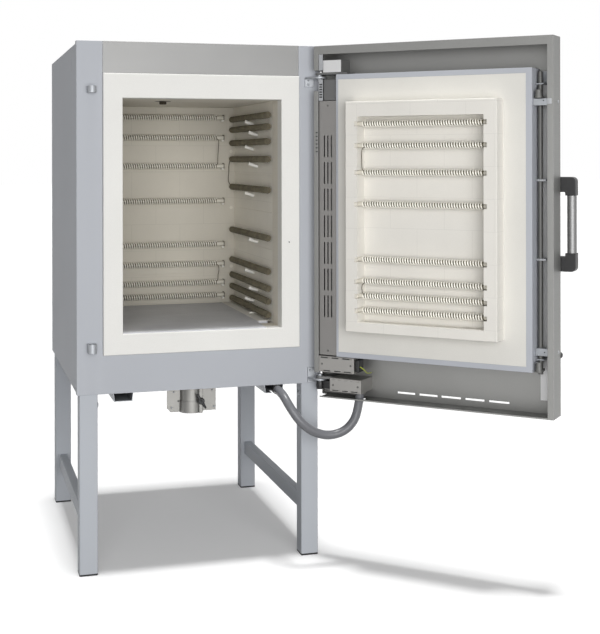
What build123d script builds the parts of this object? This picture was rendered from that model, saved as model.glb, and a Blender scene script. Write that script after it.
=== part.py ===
from build123d import *
from math import cos, pi, radians, sin, tan
import os

# Front-loading ceramic kiln on a tube stand, with its door open.
# X runs to the right, Y to the back and Z up, and lengths are in millimetres.

# Where the body stands: its middle and its front face, from the part's origin
body_x = -341.0
front_y = -185.0

# Body
body_width = 836.0
body_depth = 988.0
body_bottom = 596.0
roof_space = 187.0
sheet = 2.0
panel_gap = 1.0
cut_past = 1.0
panel_inset = 3.0
panel_flange = 15.0
roof_drop = 6.0
frame_depth = 32.0
column_left = 86.0
column_right = 78.0
sill_height = 127.5
part_gap = 0.5
side_hole = (77.0, 245.0)
side_hole_radius = 4.0
side_hook = (191.0, 66.5)
side_hook_size = (6.0, 41.0)
rear_slot_size = (62.0, 6.0)
rear_slot_spacing = (120.0, 18.0)
rear_slot_counts = (5, 2)
rear_slot_insets = (124.0, 120.0)

# Stand
leg_size = 60.0
leg_wall = 3.0
leg_edge = 2.5
leg_side_inset = 9.0
leg_front_inset = 5.0
leg_rear_inset = 26.0
pad_height = 6.0
pad_plug = 15.0
pad_edge = 1.0
rail_height = 50.0
rail_thickness = 30.0
rail_wall = 2.5
rail_bottom = 143.0
stub_length = 60.0
bolt_drop = 40.0
bolt_radius = 5.0
bolt_head_radius = 10.0
bolt_head_height = 6.0
bolt_length = 20.0
bolt_slope = 28.0
bar_sides = 6
small_sides = 4
hose_sides = 6
round_sides = 12
pipe_sides = 24

# Open channels under the floor
channel_left_x = -265.0
channel_right_x = 251.0
channel_width = 67.0
channel_height = 28.0
channel_lean = 3.0
channel_start = 4.0
channel_rear_gap = 4.0
channel_notch = 40.0

# Chamber and lining
chamber_x = 4.0
chamber_width = 543.0
chamber_bottom = 793.0
chamber_height = 780.0
chamber_front = 110.0
chamber_depth = 592.0
collar_over = 81.5
collar_proud = 12.0
collar_back = 40.0
collar_edge = 3.0
wall_brick = 100.0
floor_brick = 95.0
floor_drop = 5.0
inner_rear = 846.0
plate_thickness = 13.0
plate_side_gap = 13.5
plate_end_gap = 10.0
plate_corner = 4.0
brick_joint = 2.0
wall_courses = 6

# Heating: support tubes with wire windings, their levels as shares of the chamber's height
tube_radius = 7.5
tube_bore = 4.5
winding_radius = 12.0
winding_gap = 0.5
side_tube_shares = (0.9385, 0.8859, 0.8192, 0.7385, 0.5987, 0.3821, 0.2308, 0.1538, 0.0962, 0.0359)
side_tube_inset = 16.0
side_winding_end = 26.0
rear_tube_shares = (0.9487, 0.8474, 0.7038, 0.5282, 0.309, 0.2103, 0.1154, 0.0513)
rear_tube_inset = 17.0
rear_tube_length = 456.0
rear_winding_length = 396.0
pin_radius = 4.0
pin_length = 26.0
pin_turn = 45.0
side_pin_places = (390.0, 340.0)
rear_pin_inset = 8.0
groove_width = 26.0
groove_count = 6
groove_spacing = 80.0
floor_winding_front = 185.0
floor_winding_back = 660.0
floor_winding_radius = 11.0
terminal_shares = (0.9128, 0.7782, 0.491, 0.1923)
terminal_inset = 12.5
terminal_radius = 7.0
terminal_bolt_radius = 3.5
terminal_reach = 862.0
terminal_bolt_reach = 885.0
thermocouple_inset = 27.5
thermocouple_share = 0.6372
thermocouple_radius = 6.0
thermocouple_tip = 60.0
thermocouple_head = (4.0, 30.0, 16.0)

# Exhaust and fresh air
exhaust_place = (-95.8, 210.5)
exhaust_bore = 20.0
sleeve_wall = 10.0
sleeve_rise = 10.0
flange_size = 130.0
spigot_radius = 40.0
spigot_height = 21.0
inlet_place = (-8.0, 150.0)
inlet_radius = 40.0
inlet_wall = 1.5
inlet_bottom = 492.0
inlet_plate = (-94.0, 79.0)
inlet_corner = 14.0
inlet_window = (36.0, 26.0)
inlet_window_rise = 6.0
inlet_air_hole = 20.0
slider_gap = 0.4
slider_wall = 1.6
slider_height = 41.0
slider_strip = (26.0, 11.0, 100.0)
strip_inset = 2.0
boss_size = (14.0, 20.0, 106.0)
knob_level = 534.0
knob_radius = 11.5
knob_depth = 10.0
knob_gap = 0.3
knob_edge = 2.0
lever_length = 60.0
lever_radius = 2.5
lever_tilt = 57.0

# Door, measured along from its hinge edge, in from its lips, and up
door_opening = 136.0
hinge_inset = 13.5
hinge_reach = 36.0
door_overhang = 0.5
door_gap = 19.5
door_width = 836.0
door_bottom = 556.0
door_drop = 4.0
door_depth = 80.0
door_round = 6.0
lip_hinge = 17.0
lip_free = 20.0
lip_top = 29.0
lip_bottom = 5.0
hinge_notch = (20.0, 60.0)
notch_lower = (0.0, 84.0)
notch_upper = (154.0, 84.0)
vent_slots = ((277.0, 340.0), (356.0, 420.0), (434.5, 502.0), (518.0, 583.0), (600.0, 667.0))
vent_level = (578.0, 584.0)
tray_left = 88.0
tray_right = 770.0
tray_bottom = 700.0
tray_drop = 100.0
tray_front = 7.0
tray_lip_left = 8.0
tray_lip_right = 20.0
tray_lip_end = 17.0
plug_front = 70.0
plug_side_gap = 9.5
plug_gap_low = 4.0
plug_gap_high = 13.0
plug_edge = 3.0
recess_side = 43.5
recess_low = 33.0
recess_high = 50.0
recess_back = 12.0
door_tube_shares = (0.9647, 0.8588, 0.7279, 0.5735, 0.3044, 0.1985, 0.1265, 0.0559)
door_tube_inset = 40.0
door_tube_seat = 10.0
door_winding_end = 14.0
cover_left = 17.5
cover_right = 82.5
cover_bottom = 701.0
cover_drop = 188.0
cover_front = -5.0
cover_columns = (37.2, 50.6, 63.9)
cover_slot = (4.5, 74.0)
cover_slot_drop = 155.0
cover_slot_spacing = 91.0
cover_slot_rows = 7
upper_box = (15.0, 148.0, 643.0, 697.0, -3.0)
lower_box = (66.0, 182.0, 582.0, 627.0, 13.0)
tab_slot = (12.0, 3.0, 1.5)
tab_slot_count = 5

# Hinges, with the upper one's levels given down from the door's top
pin_size = 8.0
pin_clearance = 0.06
pin_edge = 1.0
hinge_plate = 6.0
plate_round = 22.0
upper_base_across = (362.0, 395.0)
upper_base_drops = (138.0, 105.0)
lower_base = (370.0, 396.0, 600.0, 651.0)
upper_plate_drop = 111.0
lower_plate_level = 612.0
pin_above = 15.0
upper_pin_below = 8.0
lower_pin_below = 30.0
nut_radius = 12.0
nut_height = 25.0
door_plate_round = 14.0
upper_door_plate_across = (60.0, 118.0)
upper_door_plate_drop = 98.0
lower_door_plate = (40.0, 64.0, 618.3, 7.7)
upper_housing_across = (31.0, 101.0)
upper_housing_drops = (92.0, 48.0)
lower_housing = (34.0, 80.0, 1570.0, 1640.0)
housing_front = -8.0

# Lock: a rod that slides up, with two pins that enter the keepers, and drops from the door's top
rod_place = (783.0, 40.0)
rod_radius = 8.0
rod_bottom = 690.0
rod_drop = 111.0
rod_travel = 20.0
lock_pin_place = (788.0, 4.0)
lock_pin_radius = 11.0
lock_pin_taper = 4.0
lower_pin = (708.0, 24.0)
upper_pin = (190.0, 20.0)
arm_thickness = 6.0
arm_radius = 13.0
lever_levels = (1050.0, 1300.0)
lever_plate = (800.0, 819.0, 4.0)
lever_slot_room = (5.0, 3.0, 2.0)
keeper_radius = 14.5
keeper_bore = 12.0
lower_keeper = (735.0, 766.0)
upper_keeper_drops = (168.0, 145.0)
bearing_across = (771.0, 834.0)
upper_bearing_drops = (219.0, 198.0)
upper_bearing_near = 2.0
lower_bearing = (750.0, 773.0)
lower_bearing_near = 24.0
bearing_thickness = 12.0
guide_block = 26.0
lower_guide = (735.0, 745.0)
upper_guide_drops = (152.0, 109.0)
guide_thickness = 4.0
handle_left = 800.0
handle_right = 883.0
handle_near = 84.0
handle_far = 116.0
handle_top = 1312.0
handle_bottom = 1012.0
handle_foot = 48.0
handle_socket = 59.0
handle_round = 15.0
socket_wall = 3.0
handle_tube_at = 867.0
handle_tube_radius = 15.0

# Conduit from the body to the door
conduit_radius = 15.0
gland_radius = 16.5
gland_place = (262.0, 579.0)
gland_front = -4.0
gland_back = 26.0
gland_foot = 24.0
box_gland = (160.0, 30.0)
box_gland_radius = 19.0
box_gland_height = 6.0
conduit_room = 4.0
wire_radius = 1.5

# Worked out from the sizes above
side = body_width / 2
panel_side = side - panel_inset
inner_side = panel_side - sheet
opening_left = -side + column_left
opening_right = side - column_right
sill = body_bottom + sill_height
chamber_left = chamber_x - chamber_width / 2
chamber_right = chamber_x + chamber_width / 2
chamber_top = chamber_bottom + chamber_height
collar_top = chamber_top + collar_over
body_top = chamber_top + roof_space
shell_top = body_top - roof_drop
lining_roof = shell_top - 2 * sheet
door_top = body_top - door_drop
chamber_back = chamber_front + chamber_depth
floor_level = chamber_bottom - floor_drop
lining_left = chamber_left - wall_brick
lining_right = chamber_right + wall_brick
lining_bottom = floor_level - floor_brick
lining_top = chamber_top + wall_brick
lining_back = chamber_back + wall_brick
leg_x = side - leg_side_inset - leg_size / 2
leg_front_y = leg_front_inset + leg_size / 2
leg_rear_y = body_depth - leg_rear_inset - leg_size / 2
leg_inside = leg_size - 2 * leg_wall
leg_places = {
    "front_left": (-leg_x, leg_front_y),
    "front_right": (leg_x, leg_front_y),
    "rear_left": (-leg_x, leg_rear_y),
    "rear_right": (leg_x, leg_rear_y),
}
bolt_level = body_bottom - bolt_drop
channel_end = body_depth - 2 * sheet - channel_rear_gap
sleeve_radius = exhaust_bore + sleeve_wall
inlet_bore = inlet_radius - inlet_wall
skin = door_depth - sheet
swing = radians(door_opening)
along = Vector(-cos(swing), -sin(swing), 0)
inward = Vector(-sin(swing), cos(swing), 0)
hinge_axis = Vector(body_x + side - hinge_inset, front_y - hinge_reach, 0)
hinge_along = hinge_inset + door_overhang
hinge_out = hinge_reach - door_gap
door_corner = hinge_axis - along * hinge_along + inward * hinge_out
plug_left = side + door_overhang - chamber_right + plug_side_gap
plug_right = side + door_overhang - chamber_left - plug_side_gap
recess_left = plug_left + recess_side
recess_right = plug_right - recess_side
plug_bottom = chamber_bottom + plug_gap_low
plug_top = chamber_top - plug_gap_high
recess_bottom = plug_bottom + recess_low
recess_top = plug_top - recess_high
tray_top = door_top - tray_drop
cover_top = door_top - cover_drop
side_tube_levels = [chamber_bottom + share * chamber_height for share in side_tube_shares]
rear_tube_levels = [chamber_bottom + share * chamber_height for share in rear_tube_shares]
terminal_levels = [chamber_bottom + share * chamber_height for share in terminal_shares]
door_tube_levels = [recess_bottom + share * (recess_top - recess_bottom) for share in door_tube_shares]
cover_slot_levels = [cover_top - cover_slot_drop - row * cover_slot_spacing for row in range(cover_slot_rows)]
thermocouple_place = (chamber_left + thermocouple_inset, chamber_bottom + thermocouple_share * chamber_height)


def level(height):
    """Plane facing up at a height, from the body's middle and front face."""
    return Plane(origin=(body_x, front_y, height), x_dir=(1, 0, 0), z_dir=(0, 0, 1))


def facing(depth):
    """Plane facing forwards at a depth behind the front face, with the height as its y."""
    return Plane(origin=(body_x, front_y + depth, 0), x_dir=(1, 0, 0), z_dir=(0, -1, 0))


def beside(across):
    """Plane facing right, with the depth as its x and the height as its y."""
    return Plane(origin=(body_x + across, front_y, 0), x_dir=(0, 1, 0), z_dir=(1, 0, 0))


def door_level(height):
    """Plane facing up, with x along the open door and y out from its lips to its skin."""
    return Plane(origin=door_corner + Vector(0, 0, height), x_dir=along, z_dir=(0, 0, 1))


def door_facing(inset):
    """Plane facing the chamber side of the door, with x along it and the height as its y."""
    return Plane(origin=door_corner + inward * inset, x_dir=along, z_dir=inward)


def door_beside(reach):
    """Plane facing the door's free edge, with x out from its lips and the height as its y."""
    return Plane(origin=door_corner + along * reach, x_dir=-inward, z_dir=along)


def under_top(drops):
    """Levels given down from the door's top."""
    return [door_top - drop for drop in drops]


def area(left, right, low, high, mode=Mode.ADD):
    """Rectangle of the open sketch between two pairs of limits."""
    with Locations(((left + right) / 2, (low + high) / 2)):
        Rectangle(right - left, high - low, mode=mode)


def block(plane, left, right, low, high, depth, mode=Mode.ADD):
    """Prism on a plane between two pairs of limits."""
    with BuildSketch(plane) as outline:
        area(left, right, low, high)
    extrude(outline.sketch, amount=depth, mode=mode)


def drum(plane, place, radius, depth, mode=Mode.ADD, sides=0):
    """Bar or hole on a plane, round or with a number of sides."""
    with BuildSketch(plane) as outline:
        with Locations(place):
            if sides:
                RegularPolygon(radius, sides)
            else:
                Circle(radius)
    extrude(outline.sketch, amount=depth, mode=mode)


# Stand: four square tube legs, their feet, two rails and the bolts at the tops
legs = {}
for corner, place in leg_places.items():
    with BuildPart() as leg:
        with BuildSketch(level(pad_height)):
            with Locations(place):
                Rectangle(leg_size, leg_size)
            chamfer(vertices(), length=leg_edge)
            with Locations(place):
                Rectangle(leg_inside, leg_inside, mode=Mode.SUBTRACT)
        extrude(amount=body_bottom - pad_height)
        towards = -1 if place[0] > 0 else 1
        inner_face = beside(place[0] + towards * leg_size / 2)
        drum(inner_face, (place[1], bolt_level), bolt_radius, -towards * leg_wall, Mode.SUBTRACT, bar_sides)
    legs[f"leg_{corner}"] = leg.part

with BuildPart() as foot_pads:
    with BuildSketch(level(0)):
        with Locations(*leg_places.values()):
            Rectangle(leg_size, leg_size)
        chamfer(vertices(), length=leg_edge)
    extrude(amount=pad_height)
    chamfer(foot_pads.edges().group_by(Axis.Z)[0], length=pad_edge)
    with BuildSketch(level(pad_height)):
        with Locations(*leg_places.values()):
            Rectangle(leg_inside - part_gap, leg_inside - part_gap)
    extrude(amount=pad_plug)

with BuildPart() as stand_rails:
    with BuildSketch(facing(leg_rear_y - leg_size / 2)):
        with Locations((-leg_x, rail_bottom + rail_height / 2), (leg_x, rail_bottom + rail_height / 2)):
            Rectangle(rail_thickness, rail_height)
            Rectangle(rail_thickness - 2 * rail_wall, rail_height - 2 * rail_wall, mode=Mode.SUBTRACT)
    extrude(amount=leg_rear_y - leg_front_y - leg_size)

with BuildPart() as frame_bolts:
    for place in leg_places.values():
        towards = -1 if place[0] > 0 else 1
        inner_face = beside(place[0] + towards * leg_size / 2)
        shank = bolt_radius - part_gap / 2
        drum(inner_face, (place[1], bolt_level), shank, -towards * bolt_length, sides=bar_sides)
        head_plane = Plane(origin=inner_face.origin, x_dir=(0, towards, 0), z_dir=(towards, 0, 0))
        with BuildSketch(head_plane) as head:
            with Locations((towards * place[1], bolt_level)):
                RegularPolygon(bolt_head_radius, round_sides)
        extrude(head.sketch, amount=bolt_head_height, taper=bolt_slope)

with BuildPart() as floor_panel:
    panel_front = frame_depth + panel_gap + sheet
    block(level(body_bottom), -inner_side, inner_side, panel_front, body_depth - 2 * sheet, sheet)
    drum(level(body_bottom), inlet_place, inlet_bore, sheet, Mode.SUBTRACT, pipe_sides)
    with BuildSketch(level(body_bottom - stub_length)):
        with Locations(*leg_places.values()):
            stub = leg_inside - 2 * part_gap
            Rectangle(stub, stub)
            Rectangle(stub - 2 * leg_wall, stub - 2 * leg_wall, mode=Mode.SUBTRACT)
    extrude(amount=stub_length)
    for place in leg_places.values():
        towards = -1 if place[0] > 0 else 1
        stub_face = beside(place[0] + towards * leg_size / 2)
        drum(stub_face, (place[1], bolt_level), bolt_radius, -towards * bolt_length, Mode.SUBTRACT, bar_sides)

with BuildPart() as under_channels:
    for middle in (channel_left_x, channel_right_x):
        for inset in (0, sheet):
            half = channel_width / 2 - inset
            bottom = body_bottom - channel_height + inset
            with BuildSketch(facing(channel_end)) as section:
                with BuildLine():
                    Polyline(
                        (middle - half, body_bottom),
                        (middle - half + channel_lean, bottom),
                        (middle + half - channel_lean, bottom),
                        (middle + half, body_bottom),
                        close=True,
                    )
                make_face()
            extrude(amount=channel_end - channel_start, mode=Mode.SUBTRACT if inset else Mode.ADD)
    block(
        facing(channel_start + channel_notch), gland_place[0] - gland_radius - sheet,
        gland_place[0] + gland_radius + sheet, bottom - sheet, bottom, channel_notch, Mode.SUBTRACT,
    )

# Painted front frame: two columns and a sill, folded back all round
with BuildPart() as front_frame:
    with BuildSketch(facing(frame_depth)):
        area(-side, side, body_bottom, body_top)
        area(opening_left, opening_right, sill, body_top + cut_past, mode=Mode.SUBTRACT)
    extrude(amount=frame_depth)
    with BuildSketch(facing(frame_depth)):
        area(-side + sheet, side - sheet, body_bottom + sheet, body_top - sheet)
        inside_mouth = (opening_left - sheet, opening_right + sheet, sill - sheet, body_top + cut_past)
        area(*inside_mouth, mode=Mode.SUBTRACT)
    extrude(amount=frame_depth - sheet, mode=Mode.SUBTRACT)
    corners = front_frame.edges().filter_by(Axis.Z).group_by(Axis.Y)[0].sort_by(Axis.X)
    fillet([corners[0], corners[-1]], radius=sheet)

# Bare steel panel over the opening, folded back at the top and the bottom
with BuildPart() as front_top_panel:
    with BuildSketch(beside(opening_left + part_gap)):
        area(0, frame_depth, collar_top + part_gap, body_top)
        area(sheet, frame_depth, collar_top + part_gap + sheet, body_top - sheet, mode=Mode.SUBTRACT)
    extrude(amount=opening_right - opening_left - 2 * part_gap)

# Shell: side panels, roof, rear panel and the sheet behind the lining
side_panels = {}
for hand, turn in (("left", -1), ("right", 1)):
    with BuildPart() as side_panel:
        with BuildSketch(level(body_bottom)):
            front = frame_depth + panel_gap
            rear = body_depth - sheet
            edges_x = sorted((turn * panel_side, turn * inner_side))
            flange_x = sorted((turn * panel_side, turn * (panel_side - panel_flange)))
            area(*edges_x, front, rear)
            area(*flange_x, front, front + sheet)
            area(*flange_x, rear - sheet, rear)
        extrude(amount=lining_roof - body_bottom)
        block(level(lining_roof), *flange_x, front, rear, sheet)
        if hand == "left":
            hole_place = (side_hole[0], body_top - side_hole[1])
            drum(beside(-panel_side), hole_place, side_hole_radius, sheet, Mode.SUBTRACT, bar_sides)
            with BuildSketch(beside(-panel_side)):
                with Locations((side_hook[0], body_top - side_hook[1])):
                    Rectangle(*side_hook_size)
            extrude(amount=sheet, mode=Mode.SUBTRACT)
    side_panels[f"side_panel_{hand}"] = side_panel.part

with BuildPart() as roof_panel:
    roof_front = frame_depth + panel_gap
    block(level(shell_top - sheet), -panel_side, panel_side, roof_front, body_depth - sheet, sheet)
    drum(level(shell_top - sheet), exhaust_place, sleeve_radius, sheet, Mode.SUBTRACT, round_sides)

with BuildPart() as rear_panel:
    block(facing(body_depth), -panel_side, panel_side, body_bottom, shell_top, sheet)
    for slot_level in (body_bottom + rear_slot_insets[0], body_top - rear_slot_insets[1]):
        with BuildSketch(facing(body_depth)):
            with Locations((0, slot_level)):
                with GridLocations(*rear_slot_spacing, *rear_slot_counts):
                    Rectangle(*rear_slot_size)
        extrude(amount=sheet, mode=Mode.SUBTRACT)

terminal_places = [
    (across, height)
    for across in (chamber_left + terminal_inset, chamber_right - terminal_inset)
    for height in terminal_levels
]


def rear_holes(back, depth):
    """Cut the holes for the terminals and the thermocouple through a rear wall."""
    for place in terminal_places:
        drum(facing(back), place, terminal_radius, depth, Mode.SUBTRACT, bar_sides)
    drum(facing(back), thermocouple_place, thermocouple_radius, depth, Mode.SUBTRACT, bar_sides)


with BuildPart() as inner_rear_sheet:
    block(facing(inner_rear + sheet), -inner_side, inner_side, body_bottom + sheet, lining_roof, sheet)
    rear_holes(inner_rear + sheet, sheet)

# Lining: collar, jamb, walls, roof and floor of brick, with insulation behind
with BuildPart() as door_collar:
    with BuildSketch(facing(collar_back)):
        area(opening_left + part_gap, opening_right - part_gap, sill + part_gap, collar_top)
    extrude(amount=collar_back + collar_proud)
    fillet(door_collar.faces().sort_by(Axis.Y)[0].edges(), radius=collar_edge)
    block(
        facing(collar_back), chamber_left, chamber_right, chamber_bottom, chamber_top,
        collar_back + collar_proud, Mode.SUBTRACT,
    )
    mouth = door_collar.faces().sort_by(Axis.Y)[0].inner_wires()[0].edges()
    fillet(mouth, radius=collar_edge)

with BuildPart() as front_bricks:
    with BuildSketch(facing(chamber_front)):
        area(lining_left, lining_right, lining_bottom, lining_top)
        area(chamber_left, chamber_right, chamber_bottom, chamber_top, mode=Mode.SUBTRACT)
    extrude(amount=chamber_front - collar_back)

wall_bricks = {}
course = (chamber_top - floor_level) / wall_courses
for hand, outer_x, face_x in (("left", lining_left, chamber_left), ("right", lining_right, chamber_right)):
    with BuildPart() as wall:
        wall_height = chamber_top - floor_level
        block(level(floor_level), *sorted((outer_x, face_x)), chamber_front, lining_back, wall_height)
        into = brick_joint if hand == "right" else -brick_joint
        for row in range(1, wall_courses):
            joint = floor_level + row * course
            block(
                level(joint - brick_joint / 2), *sorted((face_x, face_x + into)),
                chamber_front, chamber_back, brick_joint, Mode.SUBTRACT,
            )
    wall_bricks[f"wall_bricks_{hand}"] = wall.part

with BuildPart() as wall_bricks_rear:
    block(
        facing(lining_back), chamber_left, chamber_right, floor_level, chamber_top, lining_back - chamber_back
    )
    for row in range(1, wall_courses):
        joint = floor_level + row * course
        block(
            level(joint - brick_joint / 2), chamber_left, chamber_right,
            chamber_back, chamber_back + brick_joint, brick_joint, Mode.SUBTRACT,
        )
    rear_holes(lining_back, lining_back - chamber_back)

with BuildPart() as roof_bricks:
    block(level(chamber_top), lining_left, lining_right, chamber_front, lining_back, wall_brick)
    drum(level(chamber_top), exhaust_place, sleeve_radius, wall_brick, Mode.SUBTRACT, round_sides)

groove_places = [chamber_x + (n - (groove_count - 1) / 2) * groove_spacing for n in range(groove_count)]

with BuildPart() as floor_bricks:
    block(level(lining_bottom), lining_left, lining_right, chamber_front, lining_back, floor_brick)
    for across in groove_places:
        block(
            level(floor_level - groove_width), across - groove_width / 2, across + groove_width / 2,
            floor_winding_front - part_gap, floor_winding_back + part_gap, groove_width, Mode.SUBTRACT,
        )
    drum(level(lining_bottom), inlet_place, inlet_air_hole, floor_brick, Mode.SUBTRACT, round_sides)

with BuildPart() as backing_insulation:
    block(
        level(body_bottom + sheet), -inner_side, inner_side, collar_back, inner_rear,
        lining_roof - body_bottom - sheet,
    )
    block(
        level(lining_bottom), lining_left, lining_right, collar_back, lining_back,
        lining_top - lining_bottom, Mode.SUBTRACT,
    )
    over_roof = lining_roof - lining_top
    drum(level(lining_top), exhaust_place, sleeve_radius, over_roof, Mode.SUBTRACT, round_sides)
    under_floor = lining_bottom - body_bottom
    drum(level(body_bottom + sheet), inlet_place, inlet_air_hole, under_floor, Mode.SUBTRACT, round_sides)
    rear_holes(inner_rear, inner_rear - lining_back)

with BuildPart() as floor_plate:
    block(
        level(floor_level), chamber_left + plate_side_gap, chamber_right - plate_side_gap,
        chamber_front + plate_end_gap, chamber_back - plate_end_gap, plate_thickness,
    )
    chamfer(floor_plate.edges().filter_by(Axis.Z), length=plate_corner)


def bars(plane, places, radius, bore, length):
    """Bars or sleeves of one length, side by side."""
    with BuildSketch(plane) as section:
        with Locations(*places):
            RegularPolygon(radius, bar_sides)
            if bore:
                RegularPolygon(bore, bar_sides, mode=Mode.SUBTRACT)
    extrude(section.sketch, amount=length)


def sleeves(plane, places, length):
    """Plain sleeves where the windings lie on their tubes."""
    bars(plane, places, winding_radius, tube_radius + winding_gap, length)


# Heating on the walls: support tubes, windings and the pins under them
side_winding_length = chamber_depth - 2 * side_winding_end
element_tubes = {}
windings = {}
for hand, face_x, turn in (("left", chamber_left, 1), ("right", chamber_right, -1)):
    places = [(face_x + turn * side_tube_inset, height) for height in side_tube_levels]
    with BuildPart() as tubes:
        bars(facing(chamber_back), places, tube_radius, 0, chamber_depth)
    with BuildPart() as wound:
        sleeves(facing(chamber_back - side_winding_end), places, side_winding_length)
    element_tubes[f"element_tubes_{hand}"] = tubes.part
    windings[f"windings_{hand}"] = wound.part

rear_places = [(chamber_back - rear_tube_inset, height) for height in rear_tube_levels]
with BuildPart() as element_tubes_rear:
    bars(beside(chamber_x - rear_tube_length / 2), rear_places, tube_radius, 0, rear_tube_length)

with BuildPart() as windings_rear:
    sleeves(beside(chamber_x - rear_winding_length / 2), rear_places, rear_winding_length)

side_pin_drop = winding_radius + part_gap + pin_radius
rear_pin_drop = tube_radius + part_gap + pin_radius
with BuildPart() as tube_pins:
    for face_x, turn in ((chamber_left, 1), (chamber_right, -1)):
        with BuildSketch(beside(face_x)) as section:
            for row, height in enumerate(side_tube_levels):
                with Locations((side_pin_places[row % 2], height - side_pin_drop)):
                    RegularPolygon(pin_radius, small_sides, rotation=pin_turn)
        extrude(section.sketch, amount=turn * pin_length)
    with BuildSketch(facing(chamber_back)) as section:
        rear_pin_x = rear_tube_length / 2 - rear_pin_inset
        for height in rear_tube_levels:
            level_of_pins = height - rear_pin_drop
            with Locations((chamber_x - rear_pin_x, level_of_pins), (chamber_x + rear_pin_x, level_of_pins)):
                RegularPolygon(pin_radius, small_sides, rotation=pin_turn)
    extrude(section.sketch, amount=pin_length)

with BuildPart() as floor_windings:
    with BuildSketch(facing(floor_winding_back)):
        with Locations(*[(across, floor_level - groove_width / 2) for across in groove_places]):
            RegularPolygon(floor_winding_radius, bar_sides)
    extrude(amount=floor_winding_back - floor_winding_front)

with BuildPart() as element_terminals:
    for place in terminal_places:
        drum(facing(terminal_reach), place, terminal_radius, terminal_reach - chamber_back, sides=bar_sides)
        bolt_end = terminal_bolt_reach - terminal_reach
        drum(facing(terminal_bolt_reach), place, terminal_bolt_radius, bolt_end, sides=bar_sides)

with BuildPart() as thermocouple:
    head_gap, head_length, head_radius = thermocouple_head
    head_front = inner_rear + sheet + head_gap
    tip = chamber_back - thermocouple_tip
    drum(facing(head_front), thermocouple_place, thermocouple_radius, head_front - tip, sides=bar_sides)
    drum(facing(head_front + head_length), thermocouple_place, head_radius, head_length, sides=round_sides)
    chamfer(thermocouple.faces().sort_by(Axis.Y)[0].edges(), length=thermocouple_radius / 2)

# Air: the exhaust through the roof and the fresh-air inlet below the floor
with BuildPart() as exhaust_sleeve:
    with BuildSketch(level(chamber_top)):
        with Locations(exhaust_place):
            RegularPolygon(sleeve_radius, round_sides)
            RegularPolygon(exhaust_bore, round_sides, mode=Mode.SUBTRACT)
    extrude(amount=shell_top + sleeve_rise - chamber_top)

with BuildPart() as exhaust_flange:
    with BuildSketch(level(shell_top)):
        with Locations(exhaust_place):
            Rectangle(flange_size, flange_size)
            RegularPolygon(sleeve_radius + part_gap / 2, round_sides, mode=Mode.SUBTRACT)
    extrude(amount=sheet)
    with BuildSketch(level(shell_top)):
        with Locations(exhaust_place):
            Circle(spigot_radius)
            RegularPolygon(spigot_radius - sheet, pipe_sides, mode=Mode.SUBTRACT)
    extrude(amount=spigot_height)

with BuildPart() as inlet_duct:
    with BuildSketch(facing(inlet_place[1])):
        area(*inlet_plate, inlet_bottom, body_bottom)
    extrude(amount=inlet_wall)
    low_left = inlet_duct.edges().filter_by(Axis.Y).group_by(Axis.Z)[0].sort_by(Axis.X)[0]
    chamfer(low_left, length=inlet_corner)
    drop = body_bottom - inlet_bottom
    drum(level(inlet_bottom), inlet_place, inlet_radius, drop, sides=pipe_sides)
    drum(level(inlet_bottom), inlet_place, inlet_bore, drop, Mode.SUBTRACT, pipe_sides)
    half_window = inlet_window[0] / 2
    block(
        level(inlet_bottom + inlet_window_rise), inlet_place[0] - half_window, inlet_place[0] + half_window,
        inlet_place[1] - inlet_radius - cut_past, inlet_place[1] - inlet_radius / 2,
        inlet_window[1], Mode.SUBTRACT,
    )

slider_inner = inlet_radius + slider_gap
slider_outer = slider_inner + slider_wall
slider_x = inlet_place[0] + slider_strip[0]
with BuildPart() as inlet_slider:
    with BuildSketch(level(inlet_bottom)):
        with Locations(inlet_place):
            RegularPolygon(slider_outer, pipe_sides)
        area(
            inlet_place[0] - slider_outer, inlet_place[0] + slider_outer,
            inlet_place[1] - inlet_wall - 2 * slider_gap, inlet_place[1] + slider_outer, mode=Mode.SUBTRACT,
        )
    extrude(amount=slider_height)
    block(
        level(knob_level - boss_size[1] / 2), slider_x - boss_size[0] / 2, slider_x + boss_size[0] / 2,
        boss_size[2], inlet_place[1] - slider_strip[0] / 2, boss_size[1],
    )
    under = level(inlet_bottom - cut_past)
    drum(under, inlet_place, slider_inner, slider_strip[2], Mode.SUBTRACT, pipe_sides)
    block(
        level(inlet_bottom), slider_x - slider_strip[1] / 2, slider_x + slider_strip[1] / 2,
        boss_size[2] + strip_inset, boss_size[2] + strip_inset + slider_wall, slider_strip[2],
    )

with BuildPart() as inlet_knob:
    knob_back = boss_size[2] - knob_gap
    drum(facing(knob_back), (slider_x, knob_level), knob_radius, knob_depth, sides=round_sides)
    chamfer(inlet_knob.faces().sort_by(Axis.Y)[0].edges(), length=knob_edge)
    tilt = radians(lever_tilt)
    lever_line = Vector(cos(tilt), 0, -sin(tilt))
    middle = Vector(body_x + slider_x, front_y + knob_back - knob_depth / 2, knob_level)
    with BuildSketch(Plane(origin=middle - lever_line * (lever_length / 2), z_dir=lever_line)):
        RegularPolygon(lever_radius, bar_sides)
    extrude(amount=lever_length)

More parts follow.
